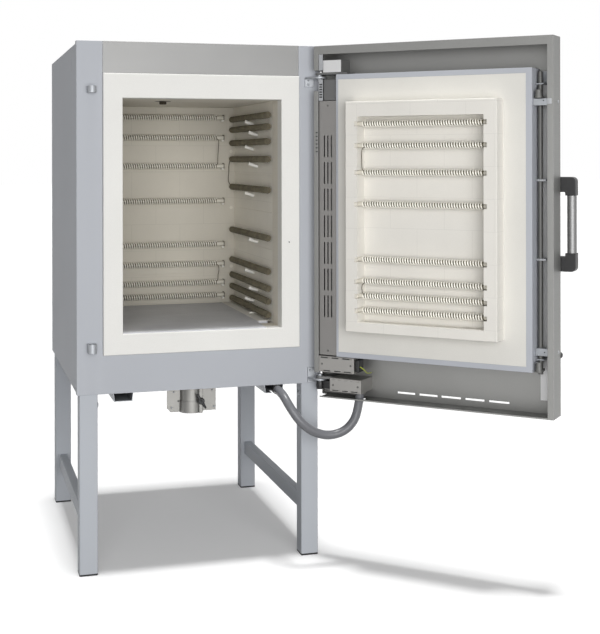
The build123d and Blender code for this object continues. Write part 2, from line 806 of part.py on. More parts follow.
# Hinge brackets on the body, each with its pin
brackets = {}
upper_base = (*upper_base_across, *under_top(upper_base_drops))
for name, base, plate, below in (
    ("upper", upper_base, door_top - upper_plate_drop, upper_pin_below),
    ("lower", lower_base, lower_plate_level, lower_pin_below),
):
    axis_place = (side - hinge_inset, -hinge_reach)
    with BuildPart() as bracket:
        block(facing(0), base[0], base[1], base[2], base[3], hinge_plate)
        with BuildSketch(level(plate)):
            area(base[0], axis_place[0] + plate_round, -hinge_plate, 0)
            with Locations(axis_place):
                RegularPolygon(plate_round, pipe_sides)
            make_hull()
        extrude(amount=hinge_plate)
        drum(level(plate - below), axis_place, pin_size, below + hinge_plate + pin_above, sides=pipe_sides)
        if name == "lower":
            drum(level(plate - below), axis_place, nut_radius, nut_height, sides=bar_sides)
        chamfer(bracket.faces().sort_by(Axis.Z)[-1].edges(), length=pin_edge)
    brackets[f"hinge_bracket_{name}"] = bracket.part

with BuildPart() as latch_keepers:
    keeper_x = side + door_overhang - lock_pin_place[0]
    keeper_y = -door_gap - lock_pin_place[1]
    for low, high in (lower_keeper, under_top(upper_keeper_drops)):
        with BuildSketch(level(low)):
            area(keeper_x - keeper_radius, keeper_x + keeper_radius, keeper_y, 0)
            with Locations((keeper_x, keeper_y)):
                RegularPolygon(keeper_radius, round_sides)
                RegularPolygon(keeper_bore, pipe_sides, mode=Mode.SUBTRACT)
        extrude(amount=high - low)

# Door pan of folded steel, open towards the chamber
door_height = door_top - door_bottom
with BuildPart() as door_shell:
    block(door_facing(-door_depth), 0, door_width, door_bottom, door_top, door_depth)
    top_corner = door_shell.edges().filter_by(lambda e: abs(e.tangent_at(0).dot(inward)) > 0.99)
    top_corner = top_corner.group_by(Axis.Z)[-1].sort_by(Axis.X)[0]
    fillet(top_corner, radius=door_round)
    block(
        door_facing(-skin), sheet, door_width - sheet, door_bottom + sheet, door_top - sheet,
        skin - sheet, Mode.SUBTRACT,
    )
    block(
        door_facing(-sheet), lip_hinge, door_width - lip_free, door_bottom + lip_bottom, door_top - lip_top,
        sheet, Mode.SUBTRACT,
    )
    for low, high in ([door_bottom + rise for rise in notch_lower], under_top(notch_upper)):
        block(
            door_facing(-hinge_notch[1]), -cut_past, hinge_notch[0], low, high,
            hinge_notch[1] + cut_past, Mode.SUBTRACT,
        )
    drum(door_level(door_bottom), box_gland, conduit_radius + conduit_room, sheet, Mode.SUBTRACT, round_sides)
    for left, right in vent_slots:
        block(door_facing(-door_depth), left, right, *vent_level, sheet, Mode.SUBTRACT)
    for lever_level in lever_levels:
        slot_left, slot_right, slot_end = lever_slot_room
        block(
            door_facing(-door_depth), lever_plate[0] - slot_left, lever_plate[1] + slot_right,
            lever_level - slot_end, lever_level + lever_plate[2] + rod_travel + slot_end,
            sheet, Mode.SUBTRACT,
        )

# Painted tray in the door, with a lip round the blanket
with BuildPart() as door_tray:
    block(door_facing(-skin), tray_left, tray_right, tray_bottom, tray_top, skin + tray_front)
    block(
        door_facing(-skin), tray_left + sheet, tray_right - sheet, tray_bottom + sheet, tray_top - sheet,
        skin + tray_front - sheet, Mode.SUBTRACT,
    )
    block(
        door_facing(tray_front - sheet), tray_left + tray_lip_left, tray_right - tray_lip_right,
        tray_bottom + tray_lip_end, tray_top - tray_lip_end, sheet, Mode.SUBTRACT,
    )

with BuildPart() as door_blanket:
    block(
        door_facing(-skin), tray_left + sheet, tray_right - sheet, tray_bottom + sheet, tray_top - sheet,
        skin + tray_front - sheet,
    )
    block(
        door_facing(tray_front - sheet), tray_left + tray_lip_left, tray_right - tray_lip_right,
        tray_bottom + tray_lip_end, tray_top - tray_lip_end, sheet,
    )

# Brick plug with a recess for the heating tubes and a seat for each tube end
with BuildPart() as door_plug:
    block(door_facing(tray_front), plug_left, plug_right, plug_bottom, plug_top, plug_front - tray_front)
    front_face = door_plug.faces().filter_by(lambda f: f.normal_at().dot(inward) > 0.99)
    fillet(front_face.edges(), radius=plug_edge)
    block(
        door_facing(recess_back), recess_left, recess_right, recess_bottom, recess_top,
        plug_front - recess_back, Mode.SUBTRACT,
    )
    for height in door_tube_levels:
        seat = tube_radius + part_gap
        block(
            door_facing(door_tube_inset - seat), recess_left - door_tube_seat - part_gap,
            recess_right + door_tube_seat + part_gap, height - seat, height + seat,
            plug_front - door_tube_inset + seat, Mode.SUBTRACT,
        )

with BuildPart() as door_element_tubes:
    door_places = [(-door_tube_inset, height) for height in door_tube_levels]
    tube_start = recess_left - door_tube_seat
    tube_end = recess_right + door_tube_seat
    bars(door_beside(tube_start), door_places, tube_radius, tube_bore, tube_end - tube_start)


with BuildPart() as door_windings:
    winding_start = recess_left + door_winding_end
    sleeves(door_beside(winding_start), door_places, recess_right - door_winding_end - winding_start)

# Slotted cover over the leads at the hinge side
with BuildPart() as hinge_cover:
    block(door_facing(-skin), cover_left, cover_right, cover_bottom, cover_top, skin + cover_front)
    block(
        door_facing(-skin), cover_left + sheet, cover_right - sheet, cover_bottom + sheet, cover_top - sheet,
        skin + cover_front - sheet, Mode.SUBTRACT,
    )
    with BuildSketch(door_facing(cover_front - sheet)):
        with Locations(*[(column, height) for column in cover_columns for height in cover_slot_levels]):
            Rectangle(*cover_slot)
    extrude(amount=sheet, mode=Mode.SUBTRACT)


def tab_slots(box):
    """Shallow slots along the top and bottom edges of a terminal box's front."""
    left, right, low, high, front = box
    with BuildSketch(door_facing(front)) as slots:
        with Locations(((left + right) / 2, (low + high) / 2)):
            spacing = ((right - left) / tab_slot_count, high - low - 3 * tab_slot[1])
            with GridLocations(*spacing, tab_slot_count, 2):
                Rectangle(tab_slot[0], tab_slot[1])
    extrude(slots.sketch, amount=-tab_slot[2], mode=Mode.SUBTRACT)


with BuildPart() as terminal_box_upper:
    block(door_facing(-skin), *upper_box[:4], skin + upper_box[4])
    tab_slots(upper_box)

with BuildPart() as terminal_box_lower:
    block(door_facing(-skin), *lower_box[:4], skin + lower_box[4])
    tab_slots(lower_box)
    boss_level = door_level(lower_box[2] - box_gland_height)
    drum(boss_level, box_gland, box_gland_radius, box_gland_height, sides=round_sides)

# Door hinge plates, with the steel housings over their fixings
with BuildPart() as door_hinges:
    upper_door_plate = (*upper_door_plate_across, door_top - upper_door_plate_drop, hinge_plate)
    for left, right, low, thick in (upper_door_plate, lower_door_plate):
        with BuildSketch(door_level(low)):
            area(left, right, hinge_out, skin)
            with Locations((hinge_along, hinge_out)):
                RegularPolygon(door_plate_round, pipe_sides)
            make_hull()
            with Locations((hinge_along, hinge_out)):
                Circle(pin_size + pin_clearance, mode=Mode.SUBTRACT)
        extrude(amount=thick)
    for housing in ((*upper_housing_across, *under_top(upper_housing_drops)), lower_housing):
        block(door_facing(-skin), *housing, skin + housing_front)

# Lock: the rod with its arms, pins and lever plates slides up into the keepers
rod_top = door_top - rod_drop
with BuildPart() as latch_rod:
    drum(door_level(rod_bottom), rod_place, rod_radius, rod_top - rod_bottom, sides=round_sides)
    for low, length in (lower_pin, (door_top - upper_pin[0], upper_pin[1])):
        with BuildSketch(door_level(low - arm_thickness)):
            with Locations(rod_place, lock_pin_place):
                RegularPolygon(arm_radius, round_sides)
            make_hull()
        extrude(amount=arm_thickness)
        with BuildSketch(door_level(low)):
            with Locations(lock_pin_place):
                RegularPolygon(lock_pin_radius, round_sides)
        extrude(amount=length, taper=lock_pin_taper)
    for height in lever_levels:
        with BuildSketch(door_level(height)):
            with Locations(rod_place):
                RegularPolygon(arm_radius, round_sides)
            area(lever_plate[0], lever_plate[1], handle_near - cut_past, handle_near)
            make_hull()
        extrude(amount=lever_plate[2])

with BuildPart() as latch_guides:
    bearings = ((under_top(upper_bearing_drops), upper_bearing_near), (lower_bearing, lower_bearing_near))
    left = bearing_across[0]
    for (low, high), near in bearings:
        block(door_level(low), *bearing_across, near, near + bearing_thickness, high - low)
        block(
            door_level(low), left, left + guide_block, near + bearing_thickness,
            rod_place[1] + guide_block / 2, high - low,
        )
    for low, high in (lower_guide, under_top(upper_guide_drops)):
        block(
            door_level(low), left, left + guide_block,
            rod_place[1] - guide_block / 2, skin, guide_thickness,
        )
        block(
            door_level(low), left, left + guide_block,
            skin - guide_thickness, skin, high - low,
        )
    bore = rod_radius + pin_clearance
    drum(door_level(rod_bottom), rod_place, bore, rod_top - rod_bottom, Mode.SUBTRACT, round_sides)

# Handle: two black ends joined by a tube, standing out past the door's edge
with BuildPart() as handle_ends:
    for outer, turn in ((handle_top, -1), (handle_bottom, 1)):
        inner_x = handle_tube_at - handle_tube_radius - socket_wall
        with BuildSketch(door_facing(-handle_far)) as outline:
            with BuildLine():
                Polyline(
                    (handle_left, outer),
                    (handle_left, outer + turn * handle_foot),
                    (inner_x, outer + turn * handle_foot),
                    (inner_x, outer + turn * handle_socket),
                    (handle_right, outer + turn * handle_socket),
                    (handle_right, outer),
                    close=True,
                )
            make_face()
            far_corner = outline.vertices().sort_by(Axis.X)[-2:].sort_by(Axis.Y)
            fillet(far_corner[-1] if turn < 0 else far_corner[0], radius=handle_round)
        extrude(amount=handle_far - handle_near)

with BuildPart() as handle_tube:
    with BuildSketch(door_level(handle_bottom + handle_socket)):
        with Locations((handle_tube_at, (handle_near + handle_far) / 2)):
            RegularPolygon(handle_tube_radius, pipe_sides)
            RegularPolygon(handle_tube_radius - sheet, pipe_sides, mode=Mode.SUBTRACT)
    extrude(amount=handle_top - handle_bottom - 2 * handle_socket)

# Conduit: straight runs joined by tangent arcs, from the gland down and up to the door
with BuildPart() as conduit_gland:
    drum(facing(gland_back), gland_place, gland_radius, gland_back - gland_front, sides=round_sides)
    block(
        facing(gland_back), gland_place[0] - gland_foot / 2, gland_place[0] + gland_foot / 2,
        gland_place[1], body_bottom, gland_back - sheet,
    )


def at_body(across, back, height):
    """Point given from the body's middle and front face."""
    return Vector(body_x + across, front_y + back, height)


def at_door(reach, out, height):
    """Point given along the door and out from its lips."""
    return door_corner + along * reach - inward * out + Vector(0, 0, height)


def arc_radii(points):
    """Radius at each corner: 0.45 of the shorter run over the tangent of half the turn."""
    radii = []
    for before, corner, after in zip(points, points[1:], points[2:]):
        run_in = corner - before
        run_out = after - corner
        half_turn = radians(run_in.get_angle(run_out)) / 2
        radii.append(0.45 * min(run_in.length, run_out.length) / tan(half_turn))
    return radii


conduit_points = [
    at_body(gland_place[0], gland_front, gland_place[1]),
    at_body(gland_place[0], -60.0, gland_place[1]),
    at_body(276.0, -106.0, 541.0),
    at_body(308.0, -120.0, 490.0),
    at_body(356.0, -120.0, 452.0),
    at_body(412.0, -118.0, 436.0),
    at_body(466.0, -120.0, 449.0),
    at_body(505.0, -125.0, 486.0),
    at_door(*box_gland, 532.0),
    at_door(*box_gland, lower_box[2] - box_gland_height),
]
conduit_radii = arc_radii(conduit_points)
print("conduit arc radii, mm:", [round(radius, 1) for radius in conduit_radii])
with BuildPart() as conduit:
    with BuildLine() as conduit_route:
        FilletPolyline(*conduit_points, radius=conduit_radii)
    with BuildSketch(Plane(origin=conduit_route.line @ 0, z_dir=conduit_route.line % 0)):
        RegularPolygon(conduit_radius, hose_sides)
    sweep(path=conduit_route.line)
conduit_length = conduit_route.wires()[0].length
print("conduit length, mm:", round(conduit_length, 1))
conduit_section = hose_sides / 2 * conduit_radius**2 * sin(2 * pi / hose_sides)
print("conduit volume over section times length:", conduit.part.volume / (conduit_section * conduit_length))

# Earth wire from the upper terminal box to the door pan
wire_points = [
    at_door(upper_box[1], 20.0, 668.0),
    at_door(upper_box[1] + 17.0, 20.0, 668.0),
    at_door(upper_box[1] + 29.0, 30.0, 654.0),
    at_door(upper_box[1] + 31.0, 48.0, 640.0),
    at_door(upper_box[1] + 31.0, skin, 640.0),
]
wire_radii = arc_radii(wire_points)
print("earth wire arc radii, mm:", [round(radius, 1) for radius in wire_radii])
with BuildPart() as earth_wire:
    with BuildLine() as wire_route:
        FilletPolyline(*wire_points, radius=wire_radii)
    with BuildSketch(Plane(origin=wire_route.line @ 0, z_dir=wire_route.line % 0)):
        RegularPolygon(wire_radius, small_sides)
    sweep(path=wire_route.line)

pieces = {
    **legs,
    "foot_pads": foot_pads.part,
    "stand_rails": stand_rails.part,
    "frame_bolts": frame_bolts.part,
    "floor_panel": floor_panel.part,
    "under_channels": under_channels.part,
    "front_frame": front_frame.part,
    "front_top_panel": front_top_panel.part,
    **side_panels,
    "roof_panel": roof_panel.part,
    "rear_panel": rear_panel.part,
    "inner_rear_sheet": inner_rear_sheet.part,
    "door_collar": door_collar.part,
    "front_bricks": front_bricks.part,
    **wall_bricks,
    "wall_bricks_rear": wall_bricks_rear.part,
    "roof_bricks": roof_bricks.part,
    "floor_bricks": floor_bricks.part,
    "backing_insulation": backing_insulation.part,
    "floor_plate": floor_plate.part,
    **element_tubes,
    "element_tubes_rear": element_tubes_rear.part,
    **windings,
    "windings_rear": windings_rear.part,
    "tube_pins": tube_pins.part,
    "floor_windings": floor_windings.part,
    "element_terminals": element_terminals.part,
    "thermocouple": thermocouple.part,
    "exhaust_sleeve": exhaust_sleeve.part,
    "exhaust_flange": exhaust_flange.part,
    "inlet_duct": inlet_duct.part,
    "inlet_slider": inlet_slider.part,
    "inlet_knob": inlet_knob.part,
    **brackets,
    "latch_keepers": latch_keepers.part,
    "conduit_gland": conduit_gland.part,
    "conduit": conduit.part,
    "door_shell": door_shell.part,
    "door_tray": door_tray.part,
    "door_blanket": door_blanket.part,
    "door_plug": door_plug.part,
    "door_element_tubes": door_element_tubes.part,
    "door_windings": door_windings.part,
    "hinge_cover": hinge_cover.part,
    "terminal_box_upper": terminal_box_upper.part,
    "terminal_box_lower": terminal_box_lower.part,
    "earth_wire": earth_wire.part,
    "door_hinges": door_hinges.part,
    "latch_guides": latch_guides.part,
    "latch_rod": latch_rod.part,
    "handle_ends": handle_ends.part,
    "handle_tube": handle_tube.part,
}
os.makedirs("parts", exist_ok=True)
for name, piece in pieces.items():
    piece.label = name
    export_step(piece, f"parts/{name}.step")
print("pieces written:", len(pieces))
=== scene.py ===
import bmesh
import bpy
from math import cos, pi, radians, sin, tau
from mathutils import Matrix, Vector


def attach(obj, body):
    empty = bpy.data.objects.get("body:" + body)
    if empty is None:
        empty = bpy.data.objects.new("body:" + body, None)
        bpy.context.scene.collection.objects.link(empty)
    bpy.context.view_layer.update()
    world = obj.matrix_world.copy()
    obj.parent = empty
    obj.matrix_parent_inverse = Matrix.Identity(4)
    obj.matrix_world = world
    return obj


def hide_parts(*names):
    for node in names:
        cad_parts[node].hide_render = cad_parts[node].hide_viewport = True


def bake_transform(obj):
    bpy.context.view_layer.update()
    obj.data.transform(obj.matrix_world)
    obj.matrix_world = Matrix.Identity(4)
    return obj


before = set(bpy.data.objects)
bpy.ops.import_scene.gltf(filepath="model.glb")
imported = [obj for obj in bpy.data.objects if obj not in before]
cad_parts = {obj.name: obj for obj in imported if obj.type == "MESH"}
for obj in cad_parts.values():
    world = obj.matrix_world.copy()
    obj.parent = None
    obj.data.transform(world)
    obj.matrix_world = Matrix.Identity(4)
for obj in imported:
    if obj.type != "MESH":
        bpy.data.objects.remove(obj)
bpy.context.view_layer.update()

# The kiln is measured in millimetres. On the body: across from its middle, back from its front,
# and up. On the door: along from its hinge edge, out from its lips towards its skin, and up.
MM = 0.001
body_front = (-0.341, -0.185, 0)
door_swing = radians(136)
along = Vector((-cos(door_swing), -sin(door_swing), 0))
outward = Vector((sin(door_swing), -cos(door_swing), 0))
hinge_line = Vector((63.5, -221, 0))
hinge_along, hinge_out = 14, 16.5
door_corner = hinge_line - along * hinge_along - outward * hinge_out
millimetres = Matrix.Diagonal((MM, MM, MM, 1))
on_body = Matrix.Translation(body_front) @ millimetres
door_turn = Matrix((along, outward, (0, 0, 1))).transposed().to_4x4()
on_door = Matrix.Translation(door_corner * MM) @ door_turn @ millimetres

# Ceramic support tubes: their heights on each wall, and where they lie
side_levels = (1525, 1484, 1432, 1369, 1260, 1091, 973, 913, 868, 821)
rear_levels = (1533, 1454, 1342, 1205, 1034, 957, 883, 833)
door_levels = (1486, 1414, 1325, 1220, 1037, 965, 916, 868)
left_tubes, right_tubes = -251.5, 259.5
left_wall, right_wall = -267.5, 275.5
rear_tubes, rear_wall = 685, 702
door_tubes = -40
# The dark stretches on the tubes under the windings are painted shade, for the shadow in the gaps
# between the wire's turns
rear_tube_ends, rear_shade_band_ends = (-224, 232), (-191, 199)
door_tube_ends, door_shade_band_ends = (186, 643), (204, 625)
tube_radius, tube_bore, shade_band_radius = 7.5, 4.5, 7.7
tube_sides = 16

# Heating wire: its own radius, the radius that it winds at, the length of a turn, and how many
# steps a turn and sides the wire has
wire_radius, winding_radius, wire_pitch = 2.6, 9.4, 8.9
wire_steps, wire_sides = 10, 5
lead_radius = 1.5
rear_wire_start, rear_wire_length = -194, 396
door_wire_start, door_wire_length = 202, 425
left_wire_start, right_wire_start, side_wire_end = 188, 107, 676

# Screws, by the radius and height of their heads
sheet_screw, bracket_screw = (4.0, 2.2), (4.5, 2.5)
plate_screw, box_screw, guide_screw = (3.4, 1.8), (3.6, 1.8), (2.6, 1.4)
forward, backward, upward = (0, -1, 0), (0, 1, 0), (0, 0, 1)


# Colours and the effects that the finishes share


def tone(red, green, blue):
    """A screen colour from 0 to 255 as the linear colour that a shader takes."""
    shares = [value / 255 for value in (red, green, blue)]
    linear = [s / 12.92 if s < 0.04045 else ((s + 0.055) / 1.055) ** 2.4 for s in shares]
    return (*linear, 1)


def effect(name, inputs, outputs):
    """An empty shader group with its sockets, and its input and output nodes."""
    group = bpy.data.node_groups.new(name, "ShaderNodeTree")
    for label, kind, value in inputs:
        socket = group.interface.new_socket(label, in_out="INPUT", socket_type=kind)
        socket.default_value = value
    for label, kind in outputs:
        group.interface.new_socket(label, in_out="OUTPUT", socket_type=kind)
    return group, group.nodes.new("NodeGroupInput"), group.nodes.new("NodeGroupOutput")


def add(tree, kind, **settings):
    """A node with some of its settings and socket values."""
    node = tree.nodes.new(kind)
    for key, value in settings.items():
        if hasattr(node, key):
            setattr(node, key, value)
        else:
            node.inputs[key.replace("_", " ")].default_value = value
    return node


FLOAT, VECTOR = "NodeSocketFloat", "NodeSocketVector"
# Between these two, a noise has most of its values
noise_low, noise_high = 0.3, 0.7


def cloud_effect():
    """Broad, soft changes of shade, from one less the amount up to one."""
    group, given, result = effect(
        "cloud", [("Scale", FLOAT, 3), ("Amount", FLOAT, 0.1)], [("Shade", FLOAT)]
    )
    place = add(group, "ShaderNodeTexCoord")
    noise = add(group, "ShaderNodeTexNoise", Detail=4.0, Roughness=0.55)
    spread = add(group, "ShaderNodeMapRange", From_Min=noise_low, From_Max=noise_high)
    lowest = add(group, "ShaderNodeMath", operation="SUBTRACT")
    lowest.inputs[0].default_value = 1
    group.links.new(place.outputs["Object"], noise.inputs["Vector"])
    group.links.new(given.outputs["Scale"], noise.inputs["Scale"])
    group.links.new(noise.outputs["Fac"], spread.inputs["Value"])
    group.links.new(given.outputs["Amount"], lowest.inputs[1])
    group.links.new(lowest.outputs[0], spread.inputs["To Min"])
    group.links.new(spread.outputs["Result"], result.inputs["Shade"])
    return group


def grain_effect():
    """A fine bumpy skin, with the same pattern as a shade."""
    group, given, result = effect(
        "grain", [("Scale", FLOAT, 400), ("Depth", FLOAT, 0.0002), ("Strength", FLOAT, 0.3)],
        [("Normal", VECTOR), ("Pattern", FLOAT)],
    )
    place = add(group, "ShaderNodeTexCoord")
    noise = add(group, "ShaderNodeTexNoise", Detail=5.0, Roughness=0.6)
    bump = add(group, "ShaderNodeBump")
    group.links.new(place.outputs["Object"], noise.inputs["Vector"])
    group.links.new(given.outputs["Scale"], noise.inputs["Scale"])
    group.links.new(noise.outputs["Fac"], bump.inputs["Height"])
    group.links.new(given.outputs["Depth"], bump.inputs["Distance"])
    group.links.new(given.outputs["Strength"], bump.inputs["Strength"])
    group.links.new(bump.outputs["Normal"], result.inputs["Normal"])
    group.links.new(noise.outputs["Fac"], result.inputs["Pattern"])
    return group


def brushed_effect():
    """Fine lines along one direction, from the finish of rolled and brushed sheet."""
    group, given, result = effect(
        "brushed", [("Stretch", VECTOR, (1, 1, 1)), ("Strength", FLOAT, 0.1)],
        [("Normal", VECTOR), ("Streak", FLOAT)],
    )
    place = add(group, "ShaderNodeTexCoord")
    stretch = add(group, "ShaderNodeVectorMath", operation="MULTIPLY")
    noise = add(group, "ShaderNodeTexNoise", Scale=1.0, Detail=4.0, Roughness=0.7)
    bump = add(group, "ShaderNodeBump", Distance=0.0001)
    group.links.new(place.outputs["Object"], stretch.inputs[0])
    group.links.new(given.outputs["Stretch"], stretch.inputs[1])
    group.links.new(stretch.outputs[0], noise.inputs["Vector"])
    group.links.new(noise.outputs["Fac"], bump.inputs["Height"])
    group.links.new(given.outputs["Strength"], bump.inputs["Strength"])
    group.links.new(bump.outputs["Normal"], result.inputs["Normal"])
    group.links.new(noise.outputs["Fac"], result.inputs["Streak"])
    return group


def courses_effect():
    """Thin joints of staggered bricks, from a direction along the wall and the height."""
    group, given, result = effect(
        "courses", [("Sideways", VECTOR, (1, 0, 0)), ("Drop", FLOAT, 0.0)], [("Joint", FLOAT)]
    )
    place = add(group, "ShaderNodeTexCoord")
    reach = add(group, "ShaderNodeVectorMath", operation="DOT_PRODUCT")
    parts = add(group, "ShaderNodeSeparateXYZ")
    lower = add(group, "ShaderNodeMath", operation="SUBTRACT")
    flat = add(group, "ShaderNodeCombineXYZ")
    wall = add(
        group, "ShaderNodeTexBrick", offset=0.5, Scale=1.0, Mortar_Size=0.0008,
        Mortar_Smooth=0.4, Brick_Width=0.19, Row_Height=0.1028,
    )
    group.links.new(place.outputs["Object"], reach.inputs[0])
    group.links.new(given.outputs["Sideways"], reach.inputs[1])
    group.links.new(place.outputs["Object"], parts.inputs[0])
    group.links.new(parts.outputs["Z"], lower.inputs[0])
    group.links.new(given.outputs["Drop"], lower.inputs[1])
    group.links.new(reach.outputs["Value"], flat.inputs["X"])
    group.links.new(lower.outputs[0], flat.inputs["Y"])
    group.links.new(flat.outputs[0], wall.inputs["Vector"])
    group.links.new(wall.outputs["Fac"], result.inputs["Joint"])
    return group


cloud, grain, brushed, courses = cloud_effect(), grain_effect(), brushed_effect(), courses_effect()


def use(tree, group, **values):
    """An effect in a material, with its own values."""
    node = tree.nodes.new("ShaderNodeGroup")
    node.node_tree = group
    for key, value in values.items():
        node.inputs[key].default_value = value
    return node


def finish(name, **settings):
    """A material with its shader's plain values set on the shader's own sockets."""
    material = bpy.data.materials.new(name)
    material.use_nodes = True
    shader = material.node_tree.nodes["Principled BSDF"]
    for key, value in settings.items():
        shader.inputs[key.replace("_", " ")].default_value = value
    return material, material.node_tree, shader


def shaded(tree, shader, colour, *shades):
    """Base colour times each of some shades that change over the surface."""
    last = None
    for shade in shades:
        product = add(
            tree, "ShaderNodeMix", data_type="RGBA", blend_type="MULTIPLY", Factor=1.0
        )
        if last:
            tree.links.new(last.outputs[2], product.inputs[6])
        else:
            product.inputs[6].default_value = colour
        tree.links.new(shade, product.inputs[7])
        last = product
    tree.links.new(last.outputs[2], shader.inputs["Base Color"])


def ranged(tree, source, low, high):
    """A pattern spread between two values."""
    spread = add(
        tree, "ShaderNodeMapRange", From_Min=noise_low, From_Max=noise_high, To_Min=low,
        To_Max=high,
    )
    tree.links.new(source, spread.inputs["Value"])
    return spread.outputs["Result"]


# Finishes


def paint(name, colour):
    """Smooth stove paint on sheet steel."""
    material, tree, shader = finish(name, IOR=1.45, Specular_IOR_Level=0.12)
    shade = use(tree, cloud, Scale=2.2, Amount=0.035)
    skin = use(tree, grain, Scale=650, Depth=0.00006, Strength=0.35)
    shaded(tree, shader, colour, shade.outputs["Shade"])
    tree.links.new(ranged(tree, skin.outputs["Pattern"], 0.46, 0.58), shader.inputs["Roughness"])
    tree.links.new(skin.outputs["Normal"], shader.inputs["Normal"])
    return material


def steel(name, colour, stretch, rough, broad=0.04, metal=0.8):
    """Bare metal with its brushed lines along one direction."""
    material, tree, shader = finish(name, Metallic=metal, Specular_IOR_Level=0.4)
    lines = use(tree, brushed, Stretch=stretch, Strength=0.08)
    shade = use(tree, cloud, Scale=1.6, Amount=broad)
    streak = ranged(tree, lines.outputs["Streak"], 0.95, 1.0)
    shaded(tree, shader, colour, shade.outputs["Shade"], streak)
    tree.links.new(ranged(tree, lines.outputs["Streak"], *rough), shader.inputs["Roughness"])
    tree.links.new(lines.outputs["Normal"], shader.inputs["Normal"])
    return material


def brick(name, colour, sideways=None, drop=0.0, joint=0.9, dust=0.07):
    """Matt, finely porous ceramic; with a sideways direction, faint joints between bricks."""
    material, tree, shader = finish(name, Roughness=0.92, Specular_IOR_Level=0.2)
    shade = use(tree, cloud, Scale=5.0, Amount=dust)
    pores = use(tree, grain, Scale=420, Depth=0.0005, Strength=0.4)
    shades = [shade.outputs["Shade"], ranged(tree, pores.outputs["Pattern"], 0.955, 1.0)]
    if sideways:
        wall = use(tree, courses, Sideways=sideways, Drop=drop)
        mask = add(tree, "ShaderNodeMapRange", To_Min=1.0, To_Max=joint)
        tree.links.new(wall.outputs["Joint"], mask.inputs["Value"])
        shades.append(mask.outputs["Result"])
    shaded(tree, shader, colour, *shades)
    tree.links.new(pores.outputs["Normal"], shader.inputs["Normal"])
    return material


def stone_plate(name, colour):
    """Dense silicon carbide plate with a fine dark grain."""
    material, tree, shader = finish(name, Specular_IOR_Level=0.35)
    shade = use(tree, cloud, Scale=7.0, Amount=0.12)
    flecks = use(tree, grain, Scale=900, Depth=0.0002, Strength=0.3)
    fleck_shade = ranged(tree, flecks.outputs["Pattern"], 0.85, 1.0)
    shaded(tree, shader, colour, shade.outputs["Shade"], fleck_shade)
    tree.links.new(ranged(tree, shade.outputs["Shade"], 0.55, 0.72), shader.inputs["Roughness"])
    tree.links.new(flecks.outputs["Normal"], shader.inputs["Normal"])
    return material


def wire_finish(name, colour, patches):
    """Heating wire with the dull skin that firing leaves on it."""
    material, tree, shader = finish(name, Metallic=0.25, Specular_IOR_Level=0.4)
    shade = use(tree, cloud, Scale=26.0, Amount=patches)
    skin = use(tree, grain, Scale=1500, Depth=0.0001, Strength=0.3)
    shaded(tree, shader, colour, shade.outputs["Shade"])
    tree.links.new(ranged(tree, skin.outputs["Pattern"], 0.5, 0.7), shader.inputs["Roughness"])
    tree.links.new(skin.outputs["Normal"], shader.inputs["Normal"])
    return material


def plastic(name, colour, rough=(0.35, 0.5)):
    """Moulded plastic or rubber with a fine grain."""
    material, tree, shader = finish(name, IOR=1.46)
    shade = use(tree, cloud, Scale=9.0, Amount=0.08)
    skin = use(tree, grain, Scale=1400, Depth=0.00008, Strength=0.4)
    shaded(tree, shader, colour, shade.outputs["Shade"])
    tree.links.new(ranged(tree, skin.outputs["Pattern"], *rough), shader.inputs["Roughness"])
    tree.links.new(skin.outputs["Normal"], shader.inputs["Normal"])
    return material


small_part_lines = (6, 6, 1500)
pan_lines = (4, 4, 1400)
first_course = 0.8052
first_plug_course = 0.935

body_paint = paint("body_paint", tone(186, 189, 195))
stand_paint = paint("stand_paint", tone(190, 194, 200))
tray_paint = paint("tray_paint", tone(186, 189, 196))
top_steel = steel("top_panel_steel", tone(119, 119, 118), (3, 90, 1400), (0.4, 0.5), 0.12)
door_steel = steel("door_pan_steel", tone(138, 138, 136), pan_lines, (0.4, 0.52), 0.12)
cover_steel = steel("cover_steel", tone(136, 134, 132), pan_lines, (0.42, 0.55), 0.12)
box_steel = steel("box_steel", tone(150, 148, 145), (5, 5, 1500), (0.38, 0.5), 0.06)
duct_steel = steel("duct_steel", tone(130, 129, 126), (6, 6, 1800), (0.34, 0.44), 0.05)
plain_steel = steel("bare_steel", tone(158, 161, 165), (5, 5, 1200), (0.42, 0.55), 0.05, 0.6)
# Dark steel of the lock rod and the door's screws, darkened further as painted shade in the lock's
# channel
rod_steel_with_painted_shade = steel("rod_steel_with_painted_shade", tone(104, 104, 102), small_part_lines, (0.46, 0.56), metal=0.35)
hinge_steel = steel("hinge_steel", tone(104, 104, 104), small_part_lines, (0.4, 0.5), metal=0.6)
# Near-white, barely metallic steel: painted light for stainless faces that catch the light
steel_painted_light = steel("steel_painted_light", tone(220, 220, 220), small_part_lines, (0.3, 0.4), metal=0.2)
pale_steel = steel("pale_steel", tone(170, 172, 175), small_part_lines, (0.46, 0.56), metal=0.3)
grip_aluminium = steel(
    "grip_aluminium", tone(126, 126, 126), small_part_lines, (0.36, 0.46), metal=0.7
)
collar_fibre = brick("collar_fibre", tone(240, 239, 235), dust=0.03)
blanket_fibre = brick("blanket_fibre", tone(227, 225, 219), dust=0.04)
plug_brick = brick(
    "plug_brick", tone(238, 235, 228), (along.x, along.y, 0), first_plug_course, dust=0.05
)
